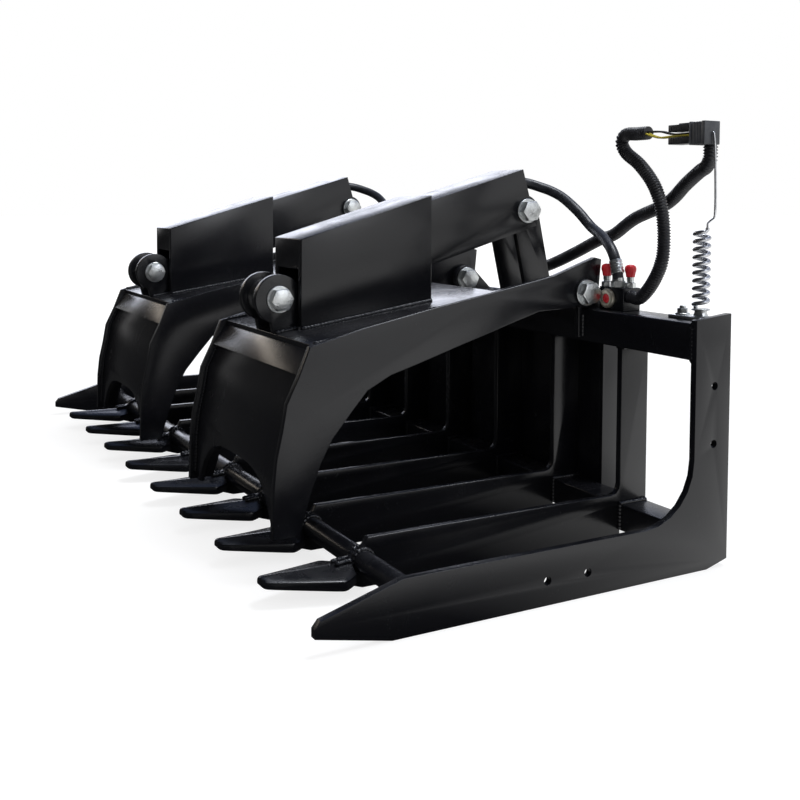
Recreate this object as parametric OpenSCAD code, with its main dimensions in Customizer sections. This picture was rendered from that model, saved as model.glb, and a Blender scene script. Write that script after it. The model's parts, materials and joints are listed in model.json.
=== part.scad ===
// Root grapple for a skid steer: open rake of L tines, two hydraulic clamps

/* [Rake] */
// Overall width across the two side plates
rake_w = 1829; // [1720:1:2000]
// Thickness of the side plates and tines
plate_t = 12.7; // [9:0.1:14]
// Depth from the tooth tips to the back of the frame
frame_depth = 786; // [760:1:820]
// Height of the side plates
side_h = 440; // [432:1:470]
// Height of the bottom leg of a tine
tine_h = 82; // [80:1:90]
// Width of the upright leg of a tine
tine_leg_w = 65; // [60:1:72]
// Width of the upright leg of a side plate
side_leg_w = 80; // [78:1:90]
// Inside radius of the side plate
side_inner_r = 105; // [60:1:120]
// Diameter of the accessory holes in the side plates
side_hole_d = 14; // [8:0.5:20]
// Distance between the two holes in the upright leg
leg_hole_gap = 100; // [80:1:120]
// Distance between the two holes in the bottom leg
foot_hole_gap = 80; // [60:1:110]

/* [Tubes] */
// Height of the top tube
top_tube_h = 63.5; // [55:0.5:66]
// Depth of the top tube
top_tube_d = 76.2; // [70:0.1:77]
// Height of the top tube's underside above the ground
top_tube_z = 361; // [350:1:366]
// Height of the bottom tube
low_tube_h = 50.8; // [45:0.1:54]
// Depth of the bottom tube
low_tube_d = 63.5; // [58:0.1:64.5]
// Height of the bottom tube above the ground
low_tube_z = 12.7; // [8:0.1:14]
// Wall of both tubes
tube_wall = 6.4; // [4:0.1:8]
// Diameter of the tie pipe behind the teeth
tie_d = 38; // [34:0.5:40]

/* [Teeth] */
// Length of a tooth from its tip
tooth_l = 155; // [145:1:157]
// Width of a tooth at its widest
tooth_w = 108; // [90:1:112]
// Height of a tooth tip above the ground
tooth_z = 39; // [36:1:42]

/* [Quick attach] */
// Width of the quick attach frame
attach_w = 1150; // [1100:1:1160]
// Depth of the quick attach frame behind the tines
attach_d = 54; // [50:1:60]
// Thickness of the quick attach plate
attach_t = 9.5; // [8:0.1:12]
// Distance between the two lock pin slots
lock_gap = 725; // [700:1:750]
// Width of a lock pin slot
lock_slot_w = 32; // [28:1:34]
// Length of a lock pin slot
lock_slot_l = 64; // [56:1:70]

/* [Clamps] */
// Width of a clamp over its two side plates
clamp_w = 448; // [440:1:450]
// Distance from the clamp's pivot forward to the rod bolt
clamp_reach = 561; // [556:1:566]
// Diameter of the pivot and cylinder bolts
bolt_d = 25.4; // [22:0.1:26]
// Width across the flats of the bolt heads
bolt_af = 38.1; // [34:0.1:40]

/* [Cylinders] */
// Outer diameter of the cylinder barrel
barrel_d = 63.5; // [56:0.5:66]
// Diameter of the cylinder rod
rod_d = 31.75; // [25:0.25:35]
// Length of the barrel from its pivot to its front end
barrel_l = 392; // [378:1:394]
// Thickness of the sheet metal hoods
hood_t = 4; // [3:0.1:4.5]

/* [Hose holder] */
// Outer diameter of the hose holder's spring
spring_d = 32; // [28:0.5:36]
// Diameter of the spring's wire
spring_wire = 5; // [4:0.1:5.5]
// Number of curls in the spring
spring_turns = 9.5; // [6:0.5:10]
// Length of the spring
spring_l = 142; // [136:1:160]
// Diameter of the hydraulic hoses
hose_d = 21; // [18:0.5:24]
// Outer diameter of the ribbed hose guard
loom_d = 25; // [20:0.5:27]

/* [Hidden] */

// Fits and general values
over = 20;          // overrun of a cut
rest_gap = 0.3;     // gap between pieces that stay apart
fit_gap = 0.05;     // radial gap of a running fit
hole_gap = 0.4;     // radial gap of a bolt hole
steel_black = [0.09, 0.09, 0.11];
zinc = [0.78, 0.79, 0.8];
rubber_black = [0.07, 0.07, 0.08];
round_fn = 64;

// Places along the rake
tine_n = 10;            // tines, with the two side plates
tine_pitch = (rake_w - plate_t) / (tine_n - 1);
depth_all = frame_depth + attach_d;
tip_y = -depth_all / 2;
side_x = rake_w / 2 - plate_t / 2;
inner_w = rake_w - 2 * plate_t;
clamp_x = side_x - 2.5 * tine_pitch;    // clamps lie midway between tines 3 and 4
tie_y = 178;            // tie pipe behind the tooth tips
tie_z = 44;             // tie pipe above the ground
low_tube_y = frame_depth - low_tube_d;
top_tube_y = frame_depth - top_tube_d;
top_z = top_tube_z + top_tube_h;
corner_r = 9;           // small corner cuts

// Side plate outline
foot_rise = 88;         // height of the bottom leg at its root
taper_y = 141;          // where the top of the tip starts to fall
toe_y = 122;            // where the underside of the tip starts to rise
tip_low = 26;           // lowest point of the blunt tip
tip_high = 50;          // highest point of the blunt tip
heel_y = 47;            // length of the rear bottom chamfer
heel_z = 12.6;          // height of the rear bottom chamfer
hole_side = 36;         // leg holes from the rear edge
leg_hole_z = 267;       // middle of the two leg holes
foot_hole_y = 439;      // middle of the two foot holes
foot_hole_z = 39;       // height of the foot holes

// Clamp pivot, rod bolt and cylinder base, from the tooth tips and the ground
pivot_back = 82;        // pivot ahead of the frame's back
pivot_up = 31.5;        // pivot above the top tube
rod_drop = 5;           // rod bolt below the pivot
base_lead = 16;         // base bolt ahead of the pivot
base_up = 156;          // base bolt above the pivot
pivot_y = frame_depth - pivot_back;
pivot_z = top_z + pivot_up;
rod_y = pivot_y - clamp_reach;
rod_z = pivot_z - rod_drop;
base_y = pivot_y - base_lead;
base_z = pivot_z + base_up;
cyl_l = norm([base_y - rod_y, base_z - rod_z]);
cyl_tilt = atan2(base_z - rod_z, base_y - rod_y);

// Clamp sizes
boss_r = 29;            // round end of the clamp plates at the pivot
bush_r = 22;            // outer radius of the pivot bush
ear_t = 12.7;           // thickness of the pivot ears
ear_r = 30;             // round end of the pivot ears
ear_gap = 3;            // running gap beside a clamp plate
rod_ear_t = 12.7;       // thickness of the rod ears
rod_ear_r = 46;         // round end of the rod ears
rod_half = 30;          // inside of the rod ears from the clamp's middle
lug_half = 36;          // inside of the cylinder lugs from the clamp's middle
lug_t = 12;             // thickness of the cylinder lugs
lug_r = 32;             // round end of the cylinder lugs
head_h = 16;            // height of a bolt head
washer_t = 3;           // thickness of a washer
washer_r = 25;          // radius of a washer
bush_over = 2;          // bush standing out beside the clamp plate
tail_share = 0.2;       // bolt end past its nut over the bolt's diameter
pin_slack = 10;         // radial play of the rod eye on its bolt
eye_r = 34;             // outer radius of the rod eye
hood_half = 62;         // half width of the front hood
hood_in_half = 55;      // half width of the rear hood
hood_top = 91.5;        // underside of the front hood above the cylinder's line
rear_top = 84.5;        // top of the rear hood above the cylinder's line
rear_low = 36;          // lower edge of the rear hood below the cylinder's line
top_plate_t = 9.5;      // thickness of the clamp's top plate
front_plate_t = 9.5;    // thickness of the clamp's front plate

module at_ground() translate([0, tip_y, 0]) children();

// Extrudes an outline of [y, z] points along x, from x on over a width
module slab(x, w) translate([x, 0, 0]) rotate([90, 0, 90]) linear_extrude(w) children();

// A round bar along x
module bar_x(x, y, z, r, w)
    translate([x, y, z]) rotate([0, 90, 0]) cylinder(r = r, h = w, $fn = round_fn);

// A hexagon prism along x, for bolt heads and nuts
module hex_x(x, y, z, af, w)
    translate([x, y, z]) rotate([0, 90, 0]) cylinder(d = af / cos(30), h = w, $fn = 6);

// A bolt along x with washers, head and nut, through a stack from x on over a width
module cross_bolt(x, w, y, z, d, af) {
    tail = d * tail_share;
    bar_x(x - washer_t - head_h - tail, y, z, d / 2, w + 2 * washer_t + 2 * head_h + tail);
    bar_x(x - washer_t, y, z, washer_r * d / bolt_d, washer_t);
    bar_x(x + w, y, z, washer_r * d / bolt_d, washer_t);
    hex_x(x - washer_t - head_h, y, z, af, head_h);
    hex_x(x + w + washer_t, y, z, af, head_h);
}

// Sweeps a ring of points along a route: rings are lists of points, all of one length
function ring(c, u, v, r, n) = [for (i = [0:n - 1])
    c + r * (cos(360 * i / n) * u + sin(360 * i / n) * v)];
function unit(v) = v / norm(v);
function dir_at(p, i) = unit(p[min(i + 1, len(p) - 1)] - p[max(i - 1, 0)]);
function side_step(u, t) = unit(u - (u * t) * t);
function sides(p, seed) = [for (i = 0, u = side_step(seed, dir_at(p, 0)); i < len(p);
    i = i + 1, u = i < len(p) ? side_step(u, dir_at(p, i)) : u) u];
function quads(m, n) = [for (j = [0:m - 2], i = [0:n - 1], k = [0, 1])
    k == 0 ? [j * n + i, j * n + (i + 1) % n, (j + 1) * n + i]
           : [j * n + (i + 1) % n, (j + 1) * n + (i + 1) % n, (j + 1) * n + i]];
function fan(start, n, flip) = [for (i = [1:n - 2]) flip ? [start, start + i + 1, start + i]
    : [start, start + i, start + i + 1]];

// A solid tube of n sides through the points p with the radius r at each point
module rope(p, r, n, seed) {
    s = sides(p, seed);
    pts = [for (i = [0:len(p) - 1]) each ring(p[i], s[i], cross(s[i], dir_at(p, i)), r, n)];
    polyhedron(pts, concat(quads(len(p), n), fan(0, n, true), fan((len(p) - 1) * n, n, false)),
        convexity = 8);
}

// A ribbed tube with a bore: outer radius swings between two values from ring to ring
module ribbed(p, r, rib, bore, n, seed) {
    s = sides(p, seed);
    m = len(p);
    outer = [for (i = [0:m - 1]) each ring(p[i], s[i], cross(s[i], dir_at(p, i)),
        (i < 2 || i > m - 3) ? r - rib : (i % 2 == 0 ? r : r - rib), n)];
    inner = [for (i = [0:m - 1]) each ring(p[i], s[i], cross(s[i], dir_at(p, i)), bore, n)];
    base = m * n;
    side_in = [for (f = quads(m, n)) [f[2] + base, f[1] + base, f[0] + base]];
    ends = [for (i = [0:n - 1]) each [
        [i, base + i, (i + 1) % n], [(i + 1) % n, base + i, base + (i + 1) % n],
        [base - n + i, base - n + (i + 1) % n, 2 * base - n + i],
        [base - n + (i + 1) % n, 2 * base - n + (i + 1) % n, 2 * base - n + i]]];
    polyhedron(concat(outer, inner), concat(quads(m, n), side_in, ends), convexity = 8);
}

// Points on a smooth curve through hand chosen route points, with k steps a span
function hermite(a, b, c, d, t) = 0.5 * ((2 * b) + (c - a) * t + (2 * a - 5 * b + 4 * c - d) * t * t
    + (3 * b - a - 3 * c + d) * t * t * t);
function smooth(p, k) = concat([for (i = [0:len(p) - 2], j = [0:k - 1])
    hermite(p[max(i - 1, 0)], p[i], p[i + 1], p[min(i + 2, len(p) - 1)], j / k)], [p[len(p) - 1]]);

// Rake frame

module side_outline() {
    difference() {
        polygon([[0, tip_low], [toe_y, 0], [frame_depth - heel_y, 0], [frame_depth, heel_z],
            [frame_depth, side_h], [frame_depth - side_leg_w, side_h - corner_r],
            [frame_depth - side_leg_w, foot_rise + side_inner_r],
            each [for (a = [0:15:90]) [frame_depth - side_leg_w - side_inner_r + side_inner_r * cos(a),
                foot_rise + side_inner_r - side_inner_r * sin(a)]],
            [taper_y, foot_rise - 2 * rest_gap], [corner_r, tip_high], [0, tooth_z]]);
        for (k = [-1, 1]) {
            translate([frame_depth - hole_side, leg_hole_z + k * leg_hole_gap / 2])
                circle(d = side_hole_d, $fn = round_fn);
            translate([foot_hole_y + k * foot_hole_gap / 2, foot_hole_z])
                circle(d = side_hole_d, $fn = round_fn);
        }
    }
}
module side_plate(s) color(steel_black) at_ground()
    slab(s * side_x - plate_t / 2, plate_t) side_outline();
module side_plate_right() side_plate(1);
module side_plate_left() side_plate(-1);

fillet_r = 20;          // inside radius of the inner tines
nose_y = 181;           // where the tine's top falls to the tooth
nose_z = 70;            // height of the tine over the tie pipe
root_y = 104;           // front end of the tine inside its tooth
root_low = 24;          // underside of the tine inside its tooth
root_high = 40;         // top of the tine inside its tooth
module tine_outline() {
    leg_y = frame_depth - tine_leg_w;
    difference() {
        polygon([[root_y, root_low], [tie_y, 0], [low_tube_y, 0], [low_tube_y, low_tube_z + low_tube_h],
            [frame_depth, low_tube_z + low_tube_h], [frame_depth, top_tube_z], [leg_y, top_tube_z],
            each [for (a = [0:30:90]) [leg_y - fillet_r + fillet_r * cos(a),
                tine_h + fillet_r - fillet_r * sin(a)]],
            [tie_y + tie_d / 4, tine_h], [nose_y, nose_z], [tooth_l - 8, tooth_ridge - 1],
            [root_y, root_high]]);
        translate([tie_y, tie_z]) circle(d = tie_d, $fn = round_fn);
    }
}
function tine_x(k) = side_x - (k - 1) * tine_pitch;
module tine(k) color(steel_black) at_ground()
    slab(tine_x(k) - plate_t / 2, plate_t) tine_outline();
module tine_2() tine(2);
module tine_3() tine(3);
module tine_4() tine(4);
module tine_5() tine(5);
module tine_6() tine(6);
module tine_7() tine(7);
module tine_8() tine(8);
module tine_9() tine(9);

// A cast spear tooth: flat underside, upright side band, faces rising to a ridge
tooth_low = 18;         // underside of the tooth
tooth_band = 17;        // height of the side band
tooth_ridge = 49;       // height of the ridge at the back
tip_r_share = 0.15;     // half width of the blunt tip over the tooth's width
tip_up = 7.5;           // half height of the blunt tip
ridge_rise = 4;         // rise of the ridge behind the widest point
shoulder_share = 0.81;  // place of the widest point over the tooth's length
back_share = 0.3;       // half width of the back over the tooth's width
module tooth(k) {
    tw = tooth_w * tip_r_share;
    hw = tooth_w / 2;
    bw = tooth_w * back_share;
    sy = tooth_l * shoulder_share;
    sec = [[0, tw, tooth_z - tip_up, tooth_z + tip_up / 3, tooth_z + tip_up],
        [sy, hw, tooth_low, tooth_low + tooth_band, tooth_ridge - ridge_rise],
        [tooth_l, bw, tooth_low, tooth_low + tooth_band, tooth_ridge]];
    pts = [for (q = sec) each [[-q[1], q[0], q[2]], [q[1], q[0], q[2]], [q[1], q[0], q[3]],
        [0, q[0], q[4]], [-q[1], q[0], q[3]]]];
    difference() {
        translate([tine_x(k), 0, 0])
            polyhedron(pts, concat(quads(3, 5), fan(0, 5, true), fan(10, 5, false)));
        translate([tine_x(k) - plate_t / 2, root_y, 0]) cube([plate_t, tooth_l, tooth_z * 2]);
    }
}
module teeth() color(steel_black) at_ground() for (k = [2:tine_n - 1]) tooth(k);

module tie_pipe() color(steel_black) at_ground() difference() {
    bar_x(-inner_w / 2, tie_y, tie_z, tie_d / 2, inner_w);
    bar_x(-inner_w / 2 - over, tie_y, tie_z, tie_d / 2 - tube_wall, inner_w + 2 * over);
}

// A square tube along x, open at its ends
module box_tube(y, z, d, h) difference() {
    translate([-inner_w / 2, y, z]) cube([inner_w, d, h]);
    translate([-inner_w / 2 - over, y + tube_wall, z + tube_wall])
        cube([inner_w + 2 * over, d - 2 * tube_wall, h - 2 * tube_wall]);
}
module bottom_tube() color(steel_black) at_ground()
    box_tube(low_tube_y, low_tube_z, low_tube_d, low_tube_h);
module top_tube() color(steel_black) at_ground()
    box_tube(top_tube_y, top_tube_z, top_tube_d, top_tube_h);

// Quick attach frame: flat plate, sloped top lip and a bottom ledge with two slots
lip_rise = 34;          // height of the sloped lip
lip_fall = 20;          // turned down end of the lip
ledge_z = 40;           // height of the bottom ledge
module attach_outline() polygon([
    [frame_depth, ledge_z], [depth_all, ledge_z], [depth_all, ledge_z + attach_t],
    [frame_depth + attach_t, ledge_z + attach_t],
    [frame_depth + attach_t, top_z - lip_rise - attach_t],
    [depth_all - attach_t, top_z - attach_t - lip_fall / 4],
    [depth_all - attach_t, top_z - lip_rise - lip_fall / 4], [depth_all, top_z - lip_rise - lip_fall / 4],
    [depth_all, top_z], [depth_all - attach_t, top_z], [frame_depth, top_z - lip_rise]]);
module attach_plate() color(steel_black) at_ground() difference() {
    slab(-attach_w / 2, attach_w) attach_outline();
    slot_y = (frame_depth + attach_t + depth_all) / 2;
    for (s = [-1, 1]) translate([s * lock_gap / 2, slot_y, ledge_z - over]) {
        straight = lock_slot_l - lock_slot_w;
        for (k = [-1, 1]) translate([k * straight / 2, 0, 0])
            cylinder(d = lock_slot_w, h = attach_t + 2 * over, $fn = round_fn);
        translate([-straight / 2, -lock_slot_w / 2, 0]) cube([straight, lock_slot_w, attach_t + 2 * over]);
    }
}
module attach_flanges() color(steel_black) at_ground() for (s = [-1, 1])
    slab(s > 0 ? attach_w / 2 : -attach_w / 2 - attach_t, attach_t) polygon([
        [frame_depth, ledge_z], [depth_all, ledge_z], [depth_all, top_z],
        [frame_depth + attach_t, top_z], [frame_depth, top_z - lip_rise]]);

// Pivot ears: plates that stand on the top tube and wrap its front face
ear_front = 10;         // plate in front of the tube
ear_low = 8;            // lower end above the tube's underside
module pivot_ear_outline() difference() {
    union() {
        translate([pivot_y, pivot_z]) circle(r = ear_r, $fn = round_fn);
        polygon([[top_tube_y - ear_front, top_tube_z + ear_low], [top_tube_y, top_tube_z + ear_low],
            [top_tube_y, top_z], [frame_depth - corner_r, top_z],
            [pivot_y + ear_r * sin(60), pivot_z + ear_r * cos(60)],
            [pivot_y - ear_r * sin(75), pivot_z + ear_r * cos(75)], [top_tube_y - ear_front, top_z]]);
    }
    translate([pivot_y, pivot_z]) circle(r = bolt_d / 2 + fit_gap, $fn = round_fn);
    translate([top_tube_y, top_tube_z]) square([frame_depth, top_tube_h]);
}
// Ears lie on the inner side of each clamp plate
module pivot_ears(c) color(steel_black) at_ground() for (s = [-1, 1]) {
    x_in = c * clamp_x + s * (clamp_w / 2 - plate_t - ear_gap - ear_t);
    slab(min(x_in, x_in + s * ear_t), ear_t) pivot_ear_outline();
}
module pivot_ears_right() pivot_ears(1);
module pivot_ears_left() pivot_ears(-1);

// Cylinder lugs: two tall plates on the top tube, bored for the base bolt
lug_lead = 11.5;        // lug ahead of the tube, and short of its back
module lug_outline() difference() {
    hull() {
        translate([base_y, base_z]) circle(r = lug_r, $fn = round_fn);
        translate([top_tube_y - lug_lead, top_z]) square([top_tube_d - lug_lead, rest_gap]);
    }
    translate([base_y, base_z]) circle(r = bolt_d / 2 + fit_gap, $fn = round_fn);
}
module cylinder_lugs(c) color(steel_black) at_ground() for (s = [-1, 1])
    slab(c * clamp_x + (s > 0 ? lug_half : -lug_half - lug_t), lug_t) lug_outline();
module cylinder_lugs_right() cylinder_lugs(1);
module cylinder_lugs_left() cylinder_lugs(-1);

module pivot_bolts() color(zinc) at_ground() for (c = [-1, 1], s = [-1, 1]) {
    inner = plate_t + ear_gap + ear_t;
    outer = bush_over + rest_gap;
    x_out = c * clamp_x + s * clamp_w / 2;
    cross_bolt(x_out - (s > 0 ? inner : outer), inner + outer, pivot_y, pivot_z, bolt_d, bolt_af);
}
module base_bolts() color(zinc) at_ground() for (c = [-1, 1])
    cross_bolt(c * clamp_x - hood_in_half - rest_gap, 2 * (hood_in_half + rest_gap),
        base_y, base_z, bolt_d, bolt_af);

// Manifold on the top tube with its fittings, and the capped couplers
block_w = 68;           // manifold along the tube
block_d = 42;           // manifold across the tube
block_h = 44;           // manifold above the tube
block_side = 4;         // manifold beside the clamp
block_gap = 10;         // manifold short of the tube's back
block_x = clamp_x + clamp_w / 2 + block_side;
block_y = frame_depth - block_gap - block_d;
block_top = top_z + block_h;
coupler_l = 20;         // height of a coupler
coupler_r = 9;          // radius of a coupler's flats
spigot_share = 0.8;     // round end of a coupler over its flats
cap_r = 11;             // radius of a dust cap
cap_h = 24;             // height of a dust cap
ring_r = 19;            // radius of the flat coupler in the manifold's front
ring_l = 7.5;           // length of the flat coupler
plug_r = 10.5;          // radius of the flat coupler's dust plug
plug_in = 5;            // depth of that plug
foot_at = [42, 10];     // cylinder hose from the manifold's front corner
coupler_at = [[10, 10], [59, 25]];  // couplers from that corner
port_at = 26;           // flat coupler from that corner
hose_foot = [block_x + foot_at[0], block_y + foot_at[1], block_top];
front_port = [block_x + port_at, block_y, top_z + block_h / 2];
module manifold_block() color(steel_black) at_ground()
    translate([block_x, block_y, top_z]) cube([block_w, block_d, block_h]);
module hydraulic_fittings() color(zinc) at_ground() {
    for (q = coupler_at) translate([block_x + q[0], block_y + q[1], block_top]) {
        cylinder(d = 2 * coupler_r / cos(30), h = coupler_l / 2, $fn = 6);
        translate([0, 0, coupler_l / 2])
            cylinder(r = coupler_r * spigot_share, h = coupler_l / 2, $fn = round_fn);
    }
    translate(front_port) rotate([90, 0, 0]) difference() {
        cylinder(r = ring_r, h = ring_l, $fn = round_fn);
        translate([0, 0, ring_l - plug_in]) cylinder(r = plug_r + fit_gap, h = ring_l, $fn = round_fn);
    }
    for (c = [-1, 1]) translate([c * clamp_x - elbow_half, base_y + elbow_y[0], base_z + elbow_z[0]])
        cube([2 * elbow_half, elbow_y[1] - elbow_y[0], elbow_z[1] - elbow_z[0]]);
}
module dust_caps() color([0.8, 0.08, 0.08]) at_ground() {
    for (q = coupler_at) translate([block_x + q[0], block_y + q[1], block_top + coupler_l])
        cylinder(r = cap_r, h = cap_h, $fn = round_fn);
    translate(front_port) rotate([90, 0, 0]) translate([0, 0, ring_l - plug_in])
        cylinder(r = plug_r, h = plug_in, $fn = round_fn);
}

// Hoses, guards and wires. Routes are chosen by hand: a cylinder hose's from its base bolt,
// the others' from the top tube's back edge, across from the clamp's middle or the side plate
hose_steps = 3;
stub = 3;               // straight first and last bit of a hose or guard
port_r = 9;             // radius of the cylinder's base port
port_top = 48;          // height of the base port above the cylinder's line
elbow_half = 10;        // half width of the hose elbow over a base port
elbow_y = [-20, -6];    // elbow from the base bolt, along y
elbow_z = [49.5, 71];   // elbow from the base bolt, along z
hose_lead = [[0, -3, 60.5], [2, 15, 60.5], [9, 36, 57], [22, 55, 50], [41, 71, 41], [68, 81, 27]];
hose_right_route = [[112, 84, 0], [149, 89, -31], [202, 75.5, -51], [248, 59.5, -76], [268, 54.5, -109]];
hose_left_route = [[104, 82, 2], [134, 79, -36], [153, 74, -84], [160, 70, -136]];
hose_left_foot = [160, 70, -base_up - pivot_up];
guard_near = [[-74, -34, stub], [-74, -34, 26], [-60, -20, 48], [-3, 10, 72], [72, 14, 100], [149, 14, 130]];
guard_far = [[-312, 14, 142], [-251, 12, 174], [-157, 4, 204], [-95, -10, 239], [-54, -19, 260],
    [-31, -28, 267], [-19, -32, 280], [-18, -32, 304 - stub]];
wire_near = [[stub, -34, 28], [26, -34, 28], [60, -36, 58]];
wire_far = [[-123, -38, 102], [-118, -40, 156], [-126, -41, 202], [-146, -41, 240], [-181, -42, 275],
    [-216, -43, 298], [-228, -44, 318], [-216, -44, 332], [-187, -44, 332], [-157 - stub, -44, 332]];
wire_mid = [[-157, -44, 332], [-125, -44, 327], [-91, -44, 324]];
plug_l = 52;            // length of the plug half
socket_l = 36;          // length of the socket half
plug_h = 34;            // height of the plug half
plug_bar = 12;          // height of each of the plug half's two bars
socket_h = 40;          // height of the socket half
plug_d = 32;            // depth of the plug half
socket_over = 2;        // socket half over the plug half's depth
function from_base(c, q) = [c * clamp_x + q[0], base_y + q[1], base_z + q[2]];
function from_x(x, q) = [x + q[0], frame_depth + q[1], top_z + q[2]];
guard_route = concat([for (q = guard_near) from_x(clamp_x, q)], [for (q = guard_far) from_x(side_x, q)]);
wire_route = concat([for (q = wire_near) from_x(block_x + block_w, q)],
    [for (q = wire_far) from_x(side_x, q)]);
// A smooth curve through route points with a straight bit before and behind it
function led(p, k, before, behind) = concat([p[0] + before], smooth(p, k), [p[len(p) - 1] + behind]);
plug_at = from_x(side_x, wire_mid[2]);
module cylinder_hose(route) color(rubber_black) at_ground()
    rope(led(route, hose_steps, [0, -stub, 0], [0, 0, -stub]), hose_d / 2, 10, [1, 0, 0]);
module cylinder_hose_right() cylinder_hose(concat(
    [for (q = concat(hose_lead, hose_right_route)) from_base(1, q)], [hose_foot + [0, 0, stub]]));
module cylinder_hose_left() cylinder_hose([for (q = concat(hose_lead, hose_left_route,
    [hose_left_foot + [0, 0, stub]])) from_base(-1, q)]);
rib_steps = 6;
rib_depth = 2;          // ribs over the guard's grooves
module guarded_hose() color(rubber_black) at_ground()
    ribbed(led(guard_route, rib_steps, [0, 0, -stub], [0, 0, stub]), loom_d / 2, rib_depth, loom_d / 4,
        8, [1, 0, 0]);
module wire_guard() color(rubber_black) at_ground()
    ribbed(led(wire_route, rib_steps, [-stub, 0, 0], [stub, 0, 0]), loom_d / 2, rib_depth, loom_d / 4,
        8, [0, 1, 0]);
wire_d = 3.6;           // diameter of a wire
module wires() color([0.8, 0.7, 0.1]) at_ground() for (k = [0:3]) {
    across = (k - 1.5) * (wire_d + rest_gap);
    up = (k % 2 - 0.5) * wire_d;
    rope(smooth(concat([for (i = [0:2]) from_x(side_x, wire_mid[i]) + [0, across, i == 1 ? 3 * up : up]],
        [plug_at + [plug_l, across, up]]), 4), wire_d / 2, 8, [0, 1, 0]);
}
module wire_connector() color([0.2, 0.2, 0.22]) at_ground() translate(plug_at) {
    for (z = [-plug_h / 2, plug_h / 2 - plug_bar])
        translate([0, -plug_d / 2, z]) cube([plug_l, plug_d, plug_bar]);
    translate([plug_l, -plug_d / 2 - socket_over, -socket_h / 2])
        cube([socket_l, plug_d + 2 * socket_over, socket_h]);
    translate([plug_l / 3, -plug_d / 4, plug_h / 2]) cube([plug_l, plug_d / 2, socket_h - plug_h]);
}

// Hose holder: a coil spring on a foot with a wire rod that carries the plug
spring_x = side_x - 44; // spring from the side plate and the tube's back
spring_y = frame_depth - 21;
post_h = 20;            // height of the foot's post
foot_t = 6;             // thickness of the foot
spring_z = top_z + post_h;
curl_rings = 8;         // rings in one turn of the spring
curl_r = (spring_d - spring_wire) / 2;
lead_l = 1.2 * spring_wire;
curl_rise = spring_l - 2 * lead_l;
curl_path = concat(
    [[-curl_r, 0, 0], [-curl_r, 0, lead_l * 0.6]],
    [for (i = [1:curl_rings * spring_turns - 1]) let (a = 180 + i * 360 / curl_rings)
        [curl_r * cos(a), curl_r * sin(a), lead_l + curl_rise * i / (curl_rings * spring_turns)]],
    [[curl_r, 0, spring_l - lead_l * 0.6], [curl_r, 0, spring_l]]);
curl_last = len(curl_path) - 1;
echo(spring_least_gap = min([for (i = [0:curl_last - curl_rings],
    j = [i + curl_rings - 2:min(i + curl_rings + 2, curl_last)])
    norm(curl_path[i] - curl_path[j])]) - spring_wire);
module holder_spring() color(zinc) at_ground() translate([spring_x, spring_y, spring_z])
    rope(curl_path, spring_wire / 2, 6, [0, 1, 0]);
foot_w = 76;            // length of the foot
foot_d = 38;            // width of the foot
foot_bolt = 13;         // washer radius and head height of the foot's bolt
module holder_foot() color(zinc) at_ground() translate([spring_x, spring_y, top_z]) {
    translate([-foot_w + spring_d / 2, -foot_d / 2, 0]) cube([foot_w, foot_d, foot_t]);
    translate([0, 0, foot_t]) cylinder(d = spring_d, h = post_h - foot_t, $fn = round_fn);
    translate([-foot_w / 2 - spring_wire, 0, foot_t]) {
        cylinder(r = foot_bolt, h = washer_t, $fn = round_fn);
        translate([0, 0, washer_t]) cylinder(r = foot_bolt - washer_t, h = foot_bolt, $fn = 6);
    }
}
// Wire rod from the spring's top to the end of the socket
rod_rise = [[0, 0, 8], [14, -6, 14], [28, -13, 18], [33, -17, 28], [33, -17, 56], [33, -19, 110],
    [33, -21, 142]];
rod_foot = [spring_x + curl_r, spring_y, spring_z + spring_l];
plug_end = plug_at + [plug_l + socket_l, 0, 0];
rod_route = concat([rod_foot], [for (q = rod_rise) rod_foot + q], [plug_end + [stub, 0, 0], plug_end]);
module holder_rod() color(zinc) at_ground() rope(rod_route, spring_wire / 2, 8, [0, 1, 0]);

// Clamps. Outline as shares of the reach: forward of the pivot, and above it
clamp_shares = [[1.037, -0.121], [1.071, -0.205], [1.111, -0.287], [1.125, -0.367], [1.143, -0.447],
    [1.152, -0.528], [1.157, -0.688], [1.07, -0.688], [1.034, -0.569], [0.998, -0.472], [0.961, -0.406],
    [0.9, -0.333], [0.843, -0.269], [0.763, -0.228], [0.66, -0.198], [0.296, -0.086], [0.194, -0.056],
    [0.05, -0.05], [-0.055, -0.02], [-0.068, 0.114], [-0.037, 0.121], [0.137, 0.062], [0.417, 0.009],
    [0.606, -0.025], [0.865, -0.077]];
top_front_share = [1.02, -0.12];
top_back_share = [0.23, -0.002];
function reach_point(q) = [pivot_y - q[0] * clamp_reach, pivot_z + q[1] * clamp_reach];
top_front = reach_point(top_front_share);
top_back = reach_point(top_back_share);
top_slope = (top_back[1] - top_front[1]) / (top_back[0] - top_front[0]);
function top_at(y) = top_front[1] + (y - top_front[0]) * top_slope;
clamp_inner = clamp_w - 2 * plate_t;
module clamp_plate(c, s) color(steel_black) at_ground() {
    x_out = c * clamp_x + s * clamp_w / 2;
    slab(min(x_out, x_out - s * plate_t), plate_t) difference() {
        union() {
            polygon([for (q = clamp_shares) reach_point(q)]);
            translate([pivot_y, pivot_z]) circle(r = boss_r, $fn = round_fn);
        }
        translate([pivot_y, pivot_z]) circle(r = bush_r + fit_gap, $fn = round_fn);
    }
}
module clamp_plate_outer_right() clamp_plate(1, 1);
module clamp_plate_inner_right() clamp_plate(1, -1);
module clamp_plate_outer_left() clamp_plate(-1, -1);
module clamp_plate_inner_left() clamp_plate(-1, 1);

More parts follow.
